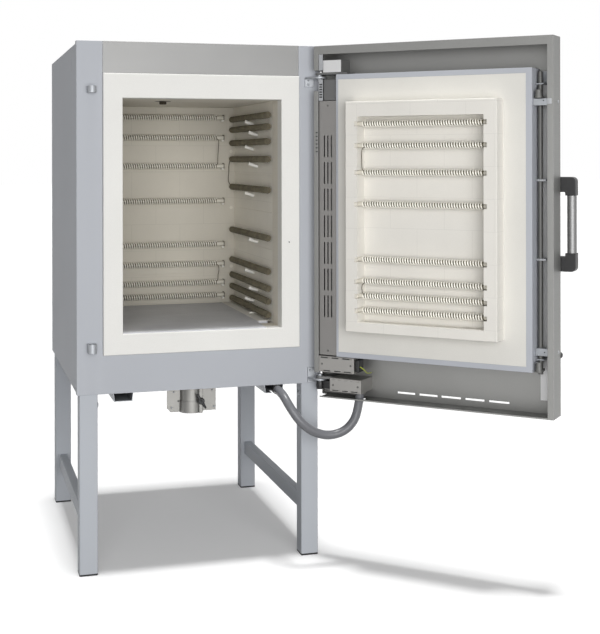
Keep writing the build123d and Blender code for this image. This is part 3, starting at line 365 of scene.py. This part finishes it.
# The walls' bricks are one brick in two tones: painted lighter on the side walls and painted
# darker on the rear wall, to even out the light that the lamps give each wall
side_brick_painted_lighter = brick("side_wall_brick_painted_light", tone(252, 248, 238), (0, 1, 0), first_course, joint=0.88)
rear_brick_painted_darker = brick("rear_wall_brick_painted_shade", tone(210, 205, 193), (1, 0, 0), first_course, joint=0.86)
roof_brick = brick("roof_brick", tone(236, 231, 219), (1, 0, 0), joint=0.95)
backing_board = brick("backing_board", tone(214, 208, 196))
plate_stone = stone_plate("plate_stone", tone(222, 223, 227))
ceramic_rod = brick("ceramic_rod", tone(226, 222, 210))
pin_ceramic = brick("pin_ceramic", tone(246, 244, 238), dust=0.03)
# Darker ceramic under the windings: painted shade for the gaps between the turns
painted_shade_ceramic = brick("painted_shade_ceramic", tone(104, 98, 82))
# Dark brown ceramic for the exhaust sleeve and its end in the roof's hole
dark_brown_ceramic = brick("dark_brown_ceramic", tone(66, 60, 50), dust=0.2)
# One wire in two tones: the darker copy on the side and floor windings is painted shade, for walls
# that the lamps light less
wire_pale = wire_finish("wire_pale", tone(250, 247, 238), 0.1)
wire_shaded_copy = wire_finish("wire_shaded_copy", tone(122, 116, 98), 0.35)
lead_wire = wire_finish("lead_wire", tone(110, 104, 92), 0.35)
# Black knob plastic, also used for the dark plates and discs that are painted shade in slots and
# holes
black_plastic = plastic("black_plastic", tone(31, 31, 32))
knob_black_and_painted_shade = plastic("knob_black_and_painted_shade", tone(24, 24, 25))
hose_plastic = plastic("hose_plastic", tone(108, 109, 113), (0.28, 0.38))
foot_rubber = plastic("foot_rubber", tone(40, 40, 42), (0.6, 0.8))
wire_green = plastic("earth_wire_plastic", tone(172, 184, 60))


# Making and placing pieces

# In degrees: flatter edges than the first are shaded smooth, sharper ones than the second are
# rounded, and faces within the third of each other share their shading on a rounded piece
smooth_angle, sharp_angle, shared_angle = 35, 40, 53


def in_scene(name, data):
    """A new object in the scene."""
    made = bpy.data.objects.new(name, data)
    bpy.context.scene.collection.objects.link(made)
    return made


def piece(name, shape, place, body, material, stands_for=()):
    """A finished mesh in its place, riding on a body."""
    bmesh.ops.transform(shape, matrix=place, verts=shape.verts)
    mesh = bpy.data.meshes.new(name)
    shape.to_mesh(mesh)
    shape.free()
    mesh.shade_smooth()
    mesh.set_sharp_from_angle(angle=radians(smooth_angle))
    mesh.materials.append(material)
    made = in_scene(name, mesh)
    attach(made, body)
    if stands_for:
        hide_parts(*stands_for)
    return made


def round_edges(shape, edges, width, segments=2):
    """Edges bevelled to a small round."""
    bmesh.ops.bevel(
        shape, geom=edges, offset=width, offset_type="OFFSET", segments=segments,
        profile=0.5, affect="EDGES", clamp_overlap=True, material=-1,
    )


def edges_at(corners):
    """The edges that meet some corners, each of them once and in a steady order."""
    return list(dict.fromkeys(edge for corner in corners for edge in corner.link_edges))


def slab(shape, low, high, width, segments=1):
    """A plate or block between two corners, with its edges rounded."""
    low, high = Vector(low), Vector(high)
    size = Matrix.Diagonal((*(high - low), 1))
    place = Matrix.Translation((low + high) / 2) @ size
    made = bmesh.ops.create_cube(shape, size=1, matrix=place)
    round_edges(shape, edges_at(made["verts"]), width, segments)


def turned_to(line):
    """The turn that points a shape's upright axis along a line."""
    return line.to_track_quat("Z", "Y").to_matrix().to_4x4()


def rod(shape, start, end, radius, tip=None, *, sides, width=0.0):
    """A round bar or cone from one point to another, with its rims rounded if a width is given."""
    start, end = Vector(start), Vector(end)
    line = end - start
    made = bmesh.ops.create_cone(
        shape, cap_ends=True, segments=sides, radius1=radius,
        radius2=radius if tip is None else tip, depth=line.length,
        matrix=Matrix.Translation((start + end) / 2) @ turned_to(line),
    )
    if width:
        edges = edges_at(made["verts"])
        rims = [edge for edge in edges if edge.calc_face_angle(0) > radians(sharp_angle)]
        round_edges(shape, rims, width)


def tube(shape, start, end, radius, bore, sides):
    """A pipe with a bore, from one point to another."""
    start, line = Vector(start), Vector(end) - Vector(start)
    place = Matrix.Translation(start) @ turned_to(line)
    rims = []
    for reach in (radius, bore):
        ring = bmesh.ops.create_circle(shape, segments=sides, radius=reach, matrix=place)
        rims += edges_at(ring["verts"])
    face = bmesh.ops.bridge_loops(shape, edges=rims)["faces"]
    drawn = bmesh.ops.extrude_face_region(shape, geom=face)["geom"]
    corners = [part for part in drawn if isinstance(part, bmesh.types.BMVert)]
    bmesh.ops.translate(shape, verts=corners, vec=line)
    bmesh.ops.recalc_face_normals(shape, faces=shape.faces)


def wound_wire(length):
    """One helix of wire that winds along the x direction from the origin."""
    shape = bmesh.new()
    run = length - 2 * wire_radius
    turns = round(run / wire_pitch)
    steps = turns * wire_steps
    start = Matrix.Translation((wire_radius, 0, winding_radius)) @ Matrix.Rotation(pi / 2, 4, "X")
    bmesh.ops.create_circle(
        shape, cap_ends=True, segments=wire_sides, radius=wire_radius, matrix=start
    )
    bmesh.ops.spin(
        shape, geom=list(shape.verts) + list(shape.edges) + list(shape.faces),
        cent=(wire_radius, 0, 0), axis=(1, 0, 0), dvec=(run / steps, 0, 0),
        angle=tau * turns, steps=steps,
    )
    bmesh.ops.recalc_face_normals(shape, faces=shape.faces)
    mesh = bpy.data.meshes.new("wound_wire")
    shape.to_mesh(mesh)
    shape.free()
    return mesh


def lay(shape, mesh, place):
    """A copy of a mesh at a place in a larger shape."""
    present = len(shape.verts)
    shape.from_mesh(mesh)
    shape.verts.ensure_lookup_table()
    bmesh.ops.transform(shape, matrix=place, verts=shape.verts[present:])


def keep_flats_flat(mesh):
    """Broad faces keep their own normals, so that only the rounded edges between them turn."""
    touching = [[] for _ in mesh.vertices]
    for face in mesh.polygons:
        for corner in face.vertices:
            touching[corner].append(face)
    near = cos(radians(shared_angle))
    normals = []
    for face in mesh.polygons:
        for corner in face.vertices:
            total = Vector()
            for other in touching[corner]:
                if other.normal.dot(face.normal) > near:
                    total += other.normal * other.area
            normals.append(total.normalized() if total.length else face.normal)
    mesh.normals_split_custom_set(normals)


def free_pin(shape):
    """A hinge pin drawn in a little, so that it turns freely in the rounded knuckle."""
    pin_radius, share = 8.02, 0.985
    for corner in shape.verts:
        arm = corner.co * (1 / MM) - hinge_line
        if arm.xy.length < pin_radius:
            corner.co.xy = (hinge_line.xy + arm.xy * share) * MM


def eased(node, body, material, width, segments):
    """A CAD node's own shape with its edges rounded."""
    shape = bmesh.new()
    shape.from_mesh(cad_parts[node].data)
    bmesh.ops.remove_doubles(shape, verts=shape.verts, dist=0.00001)
    bmesh.ops.dissolve_limit(
        shape, angle_limit=radians(1), verts=shape.verts, edges=shape.edges
    )
    joined = [edge for edge in shape.edges if len(edge.link_faces) == 2]
    sharp = [edge for edge in joined if edge.calc_face_angle(0) > radians(sharp_angle)]
    round_edges(shape, sharp, width * MM, segments)
    if node.startswith("hinge_bracket"):
        free_pin(shape)
    made = piece(f"{node}_eased", shape, Matrix.Identity(4), body, material, [node])
    keep_flats_flat(made.data)


def curve_through(name, routes, steps):
    """A curve in the scene through each of some rows of points."""
    curve = bpy.data.curves.new(name, "CURVE")
    curve.dimensions = "3D"
    curve.resolution_u = steps
    curve.use_fill_caps = True
    for points in routes:
        spline = curve.splines.new("NURBS")
        spline.points.add(len(points) - 1)
        for point, place in zip(spline.points, points):
            point.co = (*place, 1)
        spline.order_u = 3
        spline.use_endpoint_u = True
    holder = in_scene(name, curve)
    bpy.context.view_layer.update()
    return holder


def thickened(holder, radius, rings):
    """The mesh of a curve with a round section; the curve itself goes."""
    holder.data.bevel_depth = radius
    holder.data.bevel_resolution = rings
    bpy.context.view_layer.update()
    seen = holder.evaluated_get(bpy.context.evaluated_depsgraph_get())
    mesh = bpy.data.meshes.new_from_object(seen)
    bpy.data.objects.remove(holder)
    return mesh


def flexible(name, points, radius, material, node):
    """A smooth round hose or wire along its route."""
    holder = curve_through(f"{name}_route", [points], steps=10)
    middle = bpy.data.meshes.new_from_object(holder)
    mesh = thickened(holder, radius, rings=6)
    mesh.shade_smooth()
    mesh.materials.clear()
    mesh.materials.append(material)
    made = in_scene(name, mesh)
    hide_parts(node)
    return made


def bent_wires(name, routes, place, body, material):
    """Short stiff wires, each bent through a few points."""
    made = bmesh.new()
    made.from_mesh(thickened(curve_through(name, routes, steps=4), lead_radius, rings=2))
    piece(name, made, place, body, material)


def ends_at(ends, depth, level):
    """The two ends of a level bar that lies along a wall."""
    return [(end, depth, level) for end in ends]


def at_level(points, level):
    """Points whose heights are measured from a level."""
    return [(across, depth, level + above) for across, depth, above in points]


def screw(shape, place, out, head):
    """A dome-headed screw with a socket in its head."""
    top_share, rim_share, socket_share = 0.72, 0.3, 0.6
    radius, height = head
    place, out = Vector(place), Vector(out).normalized()
    present = len(shape.faces)
    rod(shape, place, place + out * height, radius, radius * top_share, sides=14)
    shape.faces.ensure_lookup_table()
    top = max(shape.faces[present:], key=lambda face: face.calc_center_median().dot(out))
    bmesh.ops.inset_region(shape, faces=[top], thickness=radius * rim_share)
    bmesh.ops.translate(shape, verts=top.verts, vec=-out * height * socket_share)


# Camera, with the photograph's viewing angle and framing
lens = bpy.data.cameras.new("camera")
lens.sensor_width = 36
lens.lens = 69.007
lens.shift_x = -0.00024
lens.shift_y = -0.25147
camera = in_scene("camera", lens)
camera.location = (-1.1678, -4.2091, 1.3743)
camera.rotation_euler = (pi / 2 + 0.0001, 0.0016, -0.2834)
bpy.context.scene.camera = camera

# Flexible conduit from the gland under the body to the lower terminal box
conduit_points = [
    (-0.079, -0.189, 0.579),
    (-0.079, -0.245, 0.579),
    (-0.065, -0.291, 0.541),
    (-0.033, -0.305, 0.490),
    (0.015, -0.305, 0.452),
    (0.071, -0.303, 0.436),
    (0.125, -0.305, 0.449),
    (0.159, -0.308, 0.484),
    (0.1720, -0.3090, 0.530),
    (0.1779, -0.3127, 0.576),
]
conduit_radius = 0.015
conduit_hose = flexible(
    "conduit_hose", conduit_points, conduit_radius, hose_plastic, "conduit",
)
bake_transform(conduit_hose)

# Yellow-green earth wire from the upper terminal box to the door pan
earth_points = [
    (0.16232, -0.31157, 0.668),
    (0.17455, -0.32338, 0.668),
    (0.19013, -0.32452, 0.654),
    (0.20407, -0.31296, 0.640),
    (0.22491, -0.29138, 0.640),
]
earth_wire_radius = 0.0015
earth_lead = flexible(
    "earth_lead", earth_points, earth_wire_radius, wire_green, "earth_wire",
)
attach(earth_lead, "door")

# Rounded edges on the pieces whose edges catch the light, by width and number of facets
for nodes, body, slot, material, width, segments in (
    (
        ("leg_front_left", "leg_front_right", "leg_rear_left", "leg_rear_right"),
        "body", "painted_steel", stand_paint, 3.0, 3,
    ),
    (("stand_rails",), "body", "painted_steel", stand_paint, 1.2, 2),
    (
        ("front_frame", "side_panel_left", "side_panel_right"),
        "body", "painted_steel", body_paint, 0.9, 2,
    ),
    (("floor_plate",), "body", "silicon_carbide", plate_stone, 2.0, 2),
    (("door_blanket",), "door", "fibre_collar", blanket_fibre, 1.5, 2),
    (("door_shell",), "door", "stainless_steel", door_steel, 0.9, 2),
    (("door_tray",), "door", "painted_steel", tray_paint, 0.9, 2),
    (("hinge_cover",), "door", "stainless_steel", cover_steel, 0.8, 2),
    (
        ("terminal_box_upper", "terminal_box_lower"),
        "door", "stainless_steel", box_steel, 0.9, 2,
    ),
    (("handle_ends",), "latch", "black_plastic", black_plastic, 2.0, 3),
    (("foot_pads",), "body", "foot_rubber", foot_rubber, 0.8, 2),
    (
        ("hinge_bracket_upper", "hinge_bracket_lower"),
        "body", "bare_steel", plain_steel, 0.6, 2,
    ),
    (("latch_keepers",), "body", "bare_steel", plain_steel, 0.8, 2),
    (("under_channels",), "body", "bare_steel", plain_steel, 0.4, 2),
    (("exhaust_flange",), "body", "stainless_steel", duct_steel, 0.5, 2),
    (("inlet_duct",), "body", "stainless_steel", duct_steel, 0.4, 2),
    (("inlet_slider",), "inlet_sleeve", "stainless_steel", duct_steel, 0.3, 2),
    (("inlet_knob",), "wing_screw", "black_plastic", knob_black_and_painted_shade, 0.6, 2),
    (("conduit_gland",), "body", "black_plastic", black_plastic, 0.8, 2),
    (("door_hinges",), "door", "stainless_steel", hinge_steel, 0.5, 2),
    (("latch_guides",), "door", "stainless_steel", plain_steel, 0.6, 2),
    (("latch_rod",), "latch", "stainless_steel", rod_steel_with_painted_shade, 0.4, 2),
):
    for node in nodes:
        eased(node, body, material, width, segments)

# Finishes of the solids that keep their own shape
for material, nodes in (
    (body_paint, ("roof_panel", "rear_panel", "floor_panel")),
    (top_steel, ("front_top_panel",)),
    (plain_steel, ("inner_rear_sheet",)),
    (collar_fibre, ("door_collar",)),
    (plug_brick, ("door_plug",)),
    (side_brick_painted_lighter, ("wall_bricks_left", "wall_bricks_right")),
    (rear_brick_painted_darker, ("wall_bricks_rear",)),
    (roof_brick, ("roof_bricks", "front_bricks", "floor_bricks")),
    (backing_board, ("backing_insulation",)),
    (ceramic_rod, ("thermocouple", "element_terminals")),
    (dark_brown_ceramic, ("exhaust_sleeve",)),
    (wire_shaded_copy, ("floor_windings",)),
):
    for node in nodes:
        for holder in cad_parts[node].material_slots:
            holder.material = material

# Support tubes, a dark stretch on each under its windings that is painted shade for the gaps
# between the turns, and their wire windings
bands = bmesh.new()
inward = Matrix.Rotation(pi / 2, 4, "Z")
for hand, across, start in (
    ("left", left_tubes, left_wire_start), ("right", right_tubes, right_wire_start),
):
    side_wire = wound_wire(side_wire_end - start)
    tubes, wires = bmesh.new(), bmesh.new()
    for level in side_levels:
        rod(
            tubes, (across, start + 5, level), (across, rear_wall, level), tube_radius,
            sides=tube_sides,
        )
        rod(
            bands, (across, start + 1, level), (across, side_wire_end - 2, level), shade_band_radius,
            sides=tube_sides,
        )
        lay(wires, side_wire, Matrix.Translation((across, start, level)) @ inward)
    piece(
        f"tubes_{hand}", tubes, on_body, "body", ceramic_rod,
        [f"element_tubes_{hand}"],
    )
    piece(
        f"wires_{hand}", wires, on_body, "body", wire_shaded_copy,
        [f"windings_{hand}"],
    )

rear_wire = wound_wire(rear_wire_length)
tubes, wires = bmesh.new(), bmesh.new()
for level in rear_levels:
    ends = ends_at(rear_tube_ends, rear_tubes, level)
    shaded_stretch = ends_at(rear_shade_band_ends, rear_tubes, level)
    rod(tubes, *ends, tube_radius, sides=tube_sides)
    rod(bands, *shaded_stretch, shade_band_radius, sides=tube_sides)
    lay(wires, rear_wire, Matrix.Translation((rear_wire_start, rear_tubes, level)))
piece(
    "tubes_rear", tubes, on_body, "body", ceramic_rod,
    ["element_tubes_rear"],
)
piece("painted_shade_bands", bands, on_body, "body", painted_shade_ceramic)
piece("wires_rear", wires, on_body, "body", wire_pale, ["windings_rear"])

door_wire = wound_wire(door_wire_length)
tubes, wires, bands = bmesh.new(), bmesh.new(), bmesh.new()
for level in door_levels:
    ends = ends_at(door_tube_ends, door_tubes, level)
    shaded_stretch = ends_at(door_shade_band_ends, door_tubes, level)
    tube(tubes, *ends, tube_radius, tube_bore, tube_sides)
    rod(bands, *shaded_stretch, shade_band_radius, sides=tube_sides)
    lay(wires, door_wire, Matrix.Translation((door_wire_start, door_tubes, level)))
piece(
    "tubes_door", tubes, on_door, "door", ceramic_rod,
    ["door_element_tubes"],
)
piece("painted_shade_door_bands", bands, on_door, "door", painted_shade_ceramic)
piece("wires_door", wires, on_door, "door", wire_pale, ["door_windings"])

# Ceramic pins under the tubes: slanted and stout, but thin and level at the lowest tube
pin_depths, pin_reach = (380, 322), 34
rear_pin_length, rear_pin_drop = 26, 12
pins = bmesh.new()
for wall, turn in ((left_wall, 1), (right_wall, -1)):
    for row, level in enumerate(side_levels):
        depth = pin_depths[row % 2]
        slanted = level > min(side_levels)
        wall_drop, tip_drop, radius = (27, 15.5, 6.2) if slanted else (16.5, 16.5, 3.4)
        tip = (wall + turn * pin_reach, depth, level - tip_drop)
        rod(pins, (wall, depth, level - wall_drop), tip, radius, sides=16, width=0.8)
for level in rear_levels:
    for across in (-216, 224):
        height = level - rear_pin_drop
        tip = (across, rear_wall - rear_pin_length, height)
        rod(pins, (across, rear_wall, height), tip, 4, sides=12, width=0.6)
piece("support_pins", pins, on_body, "body", pin_ceramic, ["tube_pins"])

# Wire leads: bridges from one winding to the next, ends into the walls and hooks on the tubes.
# Each row of points is across or along, back or out, and above the winding's level.
rear_bridge = (
    ((200, 676, -4), (206, 672, -8), (206, 671, -30)),
    ((202, 672, 30), (203, 673, 12), (200, 676, 6)),
)
side_bridge = (
    ((252, 674, -8), (249, 684, -20), (251, 688, -50)),
    ((247, 688, 30), (250, 682, 12), (254, 675, 8)),
)
door_bridge = (
    ((212, -50, -6), (206, -53, -10), (204, -52, -26)),
    ((205, -52, 22), (206, -52, 9), (212, -50, 4)),
)
rear_end = ((-192, 680, 9), (-198, 684, 10), (-200, 692, 8), (-200, 702, 6))
right_end = ((257, 676, 9), (257, 686, 10), (263, 692, 6), (272, 694, 3))
left_end = ((-249, 676, 9), (-249, 686, 10), (-255, 692, 6), (-264, 694, 3))
door_end = ((617, -46, -8), (624, -44, -10), (628, -30, -10), (628, -12, -10))
hook = ((0, 702, 10), (0, 680, 10), (0, 674, 8), (0, 674, -2), (0, 675, -9))


def bridge(points, levels, row):
    """A wire from the winding in one row down to the one in the next."""
    leaving, arriving = points
    return at_level(leaving, levels[row]) + at_level(arriving, levels[row + 1])


wall_leads = [bridge(rear_bridge, rear_levels, row) for row in (1, 5)]
wall_leads += [at_level(rear_end, level) for level in rear_levels]
wall_leads.append(bridge(side_bridge, side_levels, 3))
for level in side_levels:
    wall_leads += [at_level(right_end, level), at_level(left_end, level)]
for level in rear_levels:
    for across in (-220, 228):
        wall_leads.append(at_level([(across, depth, above) for _, depth, above in hook], level))
bent_wires("wall_leads", wall_leads, on_body, "body", lead_wire)

door_leads = [bridge(door_bridge, door_levels, row) for row in (1, 5)]
door_leads += [at_level(door_end, level) for level in door_levels]
bent_wires("door_leads", door_leads, on_door, "door", lead_wire)

# Handle bar
grip = bmesh.new()
grip_radius, grip_bore = 15, 13
tube(grip, (867, 100, 1071), (867, 100, 1253), grip_radius, grip_bore, 48)
piece("handle_bar", grip, on_door, "latch", grip_aluminium, ["handle_tube"])

# Screws on the body, at every place that a row's acrosses, depths and levels give
body_screws = bmesh.new()
for across, level in ((-78, 508), (-70, 561), (72, 504), (66, 563)):
    screw(body_screws, (across, 148.5, level), forward, plate_screw)
for acrosses, depths, levels, out, head in (
    ((-147, -44), (159, 262), (1756,), upward, sheet_screw),
    ((-404, 404), (70, 290, 510, 730, 950), (1754,), upward, sheet_screw),
    ((-402, -134, 134, 402), (988,), (612, 1738), backward, sheet_screw),
    ((-402, 402), (988,), (840, 1060, 1280, 1500), backward, sheet_screw),
    ((373,), (-6,), (1626, 1643), forward, bracket_screw),
    ((378,), (-6,), (609, 641), forward, bracket_screw),
):
    for across in acrosses:
        for depth in depths:
            for level in levels:
                screw(body_screws, (across, depth, level), out, head)
piece("body_screws", body_screws, on_body, "body", plain_steel)

# Screws on the door: cover, terminal boxes, and the lock's guides on the free edge
door_screws = bmesh.new()
for reach, out, level in (
    (50, 5, 1552), (50, 5, 716), (28, 3, 670), (136, 3, 670), (78, -13, 604), (170, -13, 604),
):
    screw(door_screws, (reach, out, level), forward, box_screw)
for out, level in ((24, 756), (24, 768), (2, 1542), (2, 1553)):
    screw(door_screws, (826, out, level), forward, guide_screw)
piece("door_screws", door_screws, on_door, "door", rod_steel_with_painted_shade)

# The floor plate's front over the sill, drawn across from its section
plate = bmesh.new()
plate_left, plate_right = -266.5, 222
section = ((-8, 793.2), (-8, 796.4), (50, 796.5), (121, 800.9), (121, 793.2))
cut = plate.faces.new([plate.verts.new((plate_left, *spot)) for spot in section])
drawn = bmesh.ops.extrude_face_region(plate, geom=[cut], use_keep_orig=True)["geom"]
far_end = [part for part in drawn if isinstance(part, bmesh.types.BMVert)]
bmesh.ops.translate(plate, verts=far_end, vec=(plate_right - plate_left, 0, 0))
bmesh.ops.recalc_face_normals(plate, faces=plate.faces)
piece("plate_front", plate, on_body, "body", plate_stone)

# The exhaust sleeve's end in the chamber's roof
sleeve = bmesh.new()
rod(sleeve, (-95.8, 210.5, 1574), (-95.8, 210.5, 1562), 12.5, sides=28, width=2)
piece("exhaust_end", sleeve, on_body, "body", dark_brown_ceramic)

# The pale ledge of the floor to the right of the plate, in the brighter pin ceramic: painted light
# that lifts the shade the coil casts on it
ledge = bmesh.new()
slab(ledge, (plate_right, 118, 800.4), (274.8, 700, 801.6), 0.2)
piece("floor_ledge", ledge, on_body, "body", pin_ceramic)

# The two wings of the screw on the fresh-air sleeve
wings = bmesh.new()
for turn in (-1, 1):
    tip = (18 + turn * 16, 100.5, 534 - turn * 25)
    rod(wings, (18, 100.5, 534), tip, 6.2, 3.4, sides=20, width=1.2)
piece("screw_wings", wings, on_body, "wing_screw", knob_black_and_painted_shade)

# Pale strips behind the hinge-side lip, the upper guide's plate, and bolt heads on the free edge
strips = bmesh.new()
for low, high in ((1569, 1642), (1672, 1738)):
    slab(strips, (17.2, 3, low), (33, 4.5, high), 0.3)
slab(strips, (816.3, -1.4, 1541), (831, -0.05, 1558), 0.4, 2)
for level in (762, 1550):
    rod(strips, (835.9, 53, level), (838.2, 53, level), 5, 4, sides=20, width=0.5)
piece("pale_strips", strips, on_door, "door", pale_steel)

# The lock's channel sheet and the face of the upper hinge housing, in near-white steel: painted
# light that stands in for the lit stainless
faces = bmesh.new()
slab(faces, (771.5, 76, 600), (833.5, 77.8, 1648), 0.3)
slab(faces, (32, 7.3, 1665.5), (100, 7.95, 1706.5), 0.2)
piece("housing_face", faces, on_door, "door", steel_painted_light)

# Faces of the lock's lever plates, by the bottom of each
lever_faces = bmesh.new()
for level in (1049, 1299):
    slab(lever_faces, (772.5, 27, level), (804, 53, level + 6), 0.5, 2)
piece("lever_plates", lever_faces, on_door, "latch", pale_steel)

# Dome-head bolts with washers at the tops of the legs, through each leg's inner wall
bolt_level, washer_thickness = 556, 1.6
bolts = bmesh.new()
for turn in (-1, 1):
    for depth in (35, 932):
        wall = turn * 349
        washer = wall - turn * washer_thickness
        rod(bolts, (wall, depth, bolt_level), (washer, depth, bolt_level), 12, sides=32, width=0.5)
        place = Matrix.Translation((washer, depth, bolt_level)) @ Matrix.Diagonal((0.46, 1, 1, 1))
        bmesh.ops.create_uvsphere(
            bolts, u_segments=28, v_segments=14, radius=9.6, matrix=place
        )
        shank = (wall + turn * 20, depth, bolt_level)
        rod(bolts, (wall, depth, bolt_level), shank, 4.75, sides=20)
piece("stand_bolts", bolts, on_body, "body", plain_steel, ["frame_bolts"])

# Painted shade: dark discs in the small holes in the collar and the inlet plate, and a dark sleeve
# round the lower hinge nut
marks = bmesh.new()
rod(marks, (302, -12.2, 1085), (302, -8, 1085), 2.2, sides=16)
rod(marks, (-54, 148.3, 529.4), (-54, 149.5, 529.4), 3.2, sides=16)
rod(marks, (404.5, -36, 581.4), (404.5, -36, 607.6), 13.2, sides=24, width=1)
piece("painted_shade_holes", marks, on_body, "body", knob_black_and_painted_shade)

# Painted shade in the slots on the hinge side and on the boxes, as thin dark plates: starts,
# levels, length, height, depths, rounding
dashes = bmesh.new()
for starts, levels, length, height, near, far, width in (
    ((20,), [1622 - step * 8.6 for step in range(6)], 11, 4.6, 2.7, 3.3, 0.2),
    ((7,), [1458 - step * 13 for step in range(6)], 8, 4, -0.25, 0.4, 0.1),
    ((24, 65, 106), (690,), 26, 4, 2.7, 3.4, 0.2),
    ((34, 75, 112), (646,), 24, 3.5, 2.7, 3.4, 0.2),
    ((76, 112, 146), (584.5,), 22, 3, -13.3, -12.6, 0.2),
):
    for reach in starts:
        for level in levels:
            slab(dashes, (reach, near, level), (reach + length, far, level + height), width)
# Dark blocks beside the two boxes, painted shade in the guide holes, the free edge's knob, a cap
# on the upper block
slab(dashes, (148.2, 12, 648), (163, 52, 690), 3, 2)
slab(dashes, (20, 14, 584), (58, 46, 611), 2, 2)
rod(dashes, (804, 1.7, 1552), (804, 2.3, 1552), 2.2, sides=14)
rod(dashes, (800, 23.7, 762), (800, 24.3, 762), 2.2, sides=14)
rod(dashes, (828.5, 80, 746), (828.5, 95, 746), 11, sides=28, width=2)
rod(dashes, (155, 10, 678), (155, 14, 678), 6, sides=20, width=1)
piece("painted_shade_slots_and_dark_block", dashes, on_door, "door", knob_black_and_painted_shade)

# Floor, backdrop and light


def seen_directly(tree):
    """One where the camera sees a surface, also in metal or through glass, otherwise nought."""
    rays = add(tree, "ShaderNodeLightPath")
    direct = add(tree, "ShaderNodeMath", operation="MAXIMUM")
    either = add(tree, "ShaderNodeMath", operation="MAXIMUM")
    tree.links.new(rays.outputs["Is Camera Ray"], direct.inputs[0])
    tree.links.new(rays.outputs["Is Glossy Ray"], direct.inputs[1])
    tree.links.new(direct.outputs[0], either.inputs[0])
    tree.links.new(rays.outputs["Is Transmission Ray"], either.inputs[1])
    return either.outputs[0]


def backdrop(bounced, seen, glowing):
    """Pale floor that runs off into a white background and keeps the kiln's shadow."""
    shape = bmesh.new()
    bmesh.ops.create_grid(shape, x_segments=1, y_segments=1, size=60)
    mesh = bpy.data.meshes.new("floor")
    shape.to_mesh(mesh)
    shape.free()
    material, tree, shader = finish("floor_white", Roughness=0.9, Specular_IOR_Level=0.0)
    in_view = seen_directly(tree)
    colour = add(tree, "ShaderNodeMix", data_type="RGBA")
    colour.inputs[6].default_value = (bounced, bounced, bounced, 1)
    colour.inputs[7].default_value = (seen, seen, seen, 1)
    glow = add(tree, "ShaderNodeMath", operation="MULTIPLY")
    glow.inputs[1].default_value = glowing
    tree.links.new(in_view, colour.inputs["Factor"])
    tree.links.new(colour.outputs[2], shader.inputs["Base Color"])
    tree.links.new(in_view, glow.inputs[0])
    shader.inputs["Emission Color"].default_value = (1, 1, 1, 1)
    tree.links.new(glow.outputs[0], shader.inputs["Emission Strength"])
    mesh.materials.append(material)
    in_scene("floor", mesh)


def surroundings(strength):
    """Even white light from all round, which is plain white to the camera and in reflections."""
    world = bpy.data.worlds.new("studio")
    bpy.context.scene.world = world
    world.use_nodes = True
    tree = world.node_tree
    light = tree.nodes["Background"]
    light.inputs["Color"].default_value = (1, 1, 1, 1)
    level = add(tree, "ShaderNodeMapRange", To_Min=strength, To_Max=1.0)
    tree.links.new(seen_directly(tree), level.inputs["Value"])
    tree.links.new(level.outputs["Result"], light.inputs["Strength"])


def soft_light(name, place, target, size, power):
    """A broad lamp in front of the kiln, aimed at a point on it."""
    lamp = bpy.data.lights.new(name, "AREA")
    lamp.shape = "RECTANGLE"
    lamp.size, lamp.size_y = size
    lamp.energy = power
    holder = in_scene(name, lamp)
    holder.location = place
    aim = Vector(target) - Vector(place)
    holder.rotation_euler = aim.to_track_quat("-Z", "Y").to_euler()


def overhead_light(direction, strength, spread):
    """Broad even light from overhead, which keeps a soft shadow under the stand."""
    lamp = bpy.data.lights.new("overhead_light", "SUN")
    lamp.energy = strength
    lamp.angle = radians(spread)
    holder = in_scene("overhead_light", lamp)
    holder.rotation_euler = Vector(direction).to_track_quat("Z", "Y").to_euler()


backdrop(bounced=0.2, seen=0.88, glowing=0.14)
surroundings(strength=0.23)
soft_light("front_light", (-0.55, -5.4, 1.45), (0.0, -0.2, 0.9), size=(4.6, 3.0), power=202)
soft_light("low_front_light", (-0.9, -4.6, 0.4), (0.1, 0.2, 0.35), size=(3.0, 0.7), power=9)
overhead_light((0, -0.02, 1), strength=2.75, spread=9)
bpy.context.scene.view_settings.view_transform = "Standard"
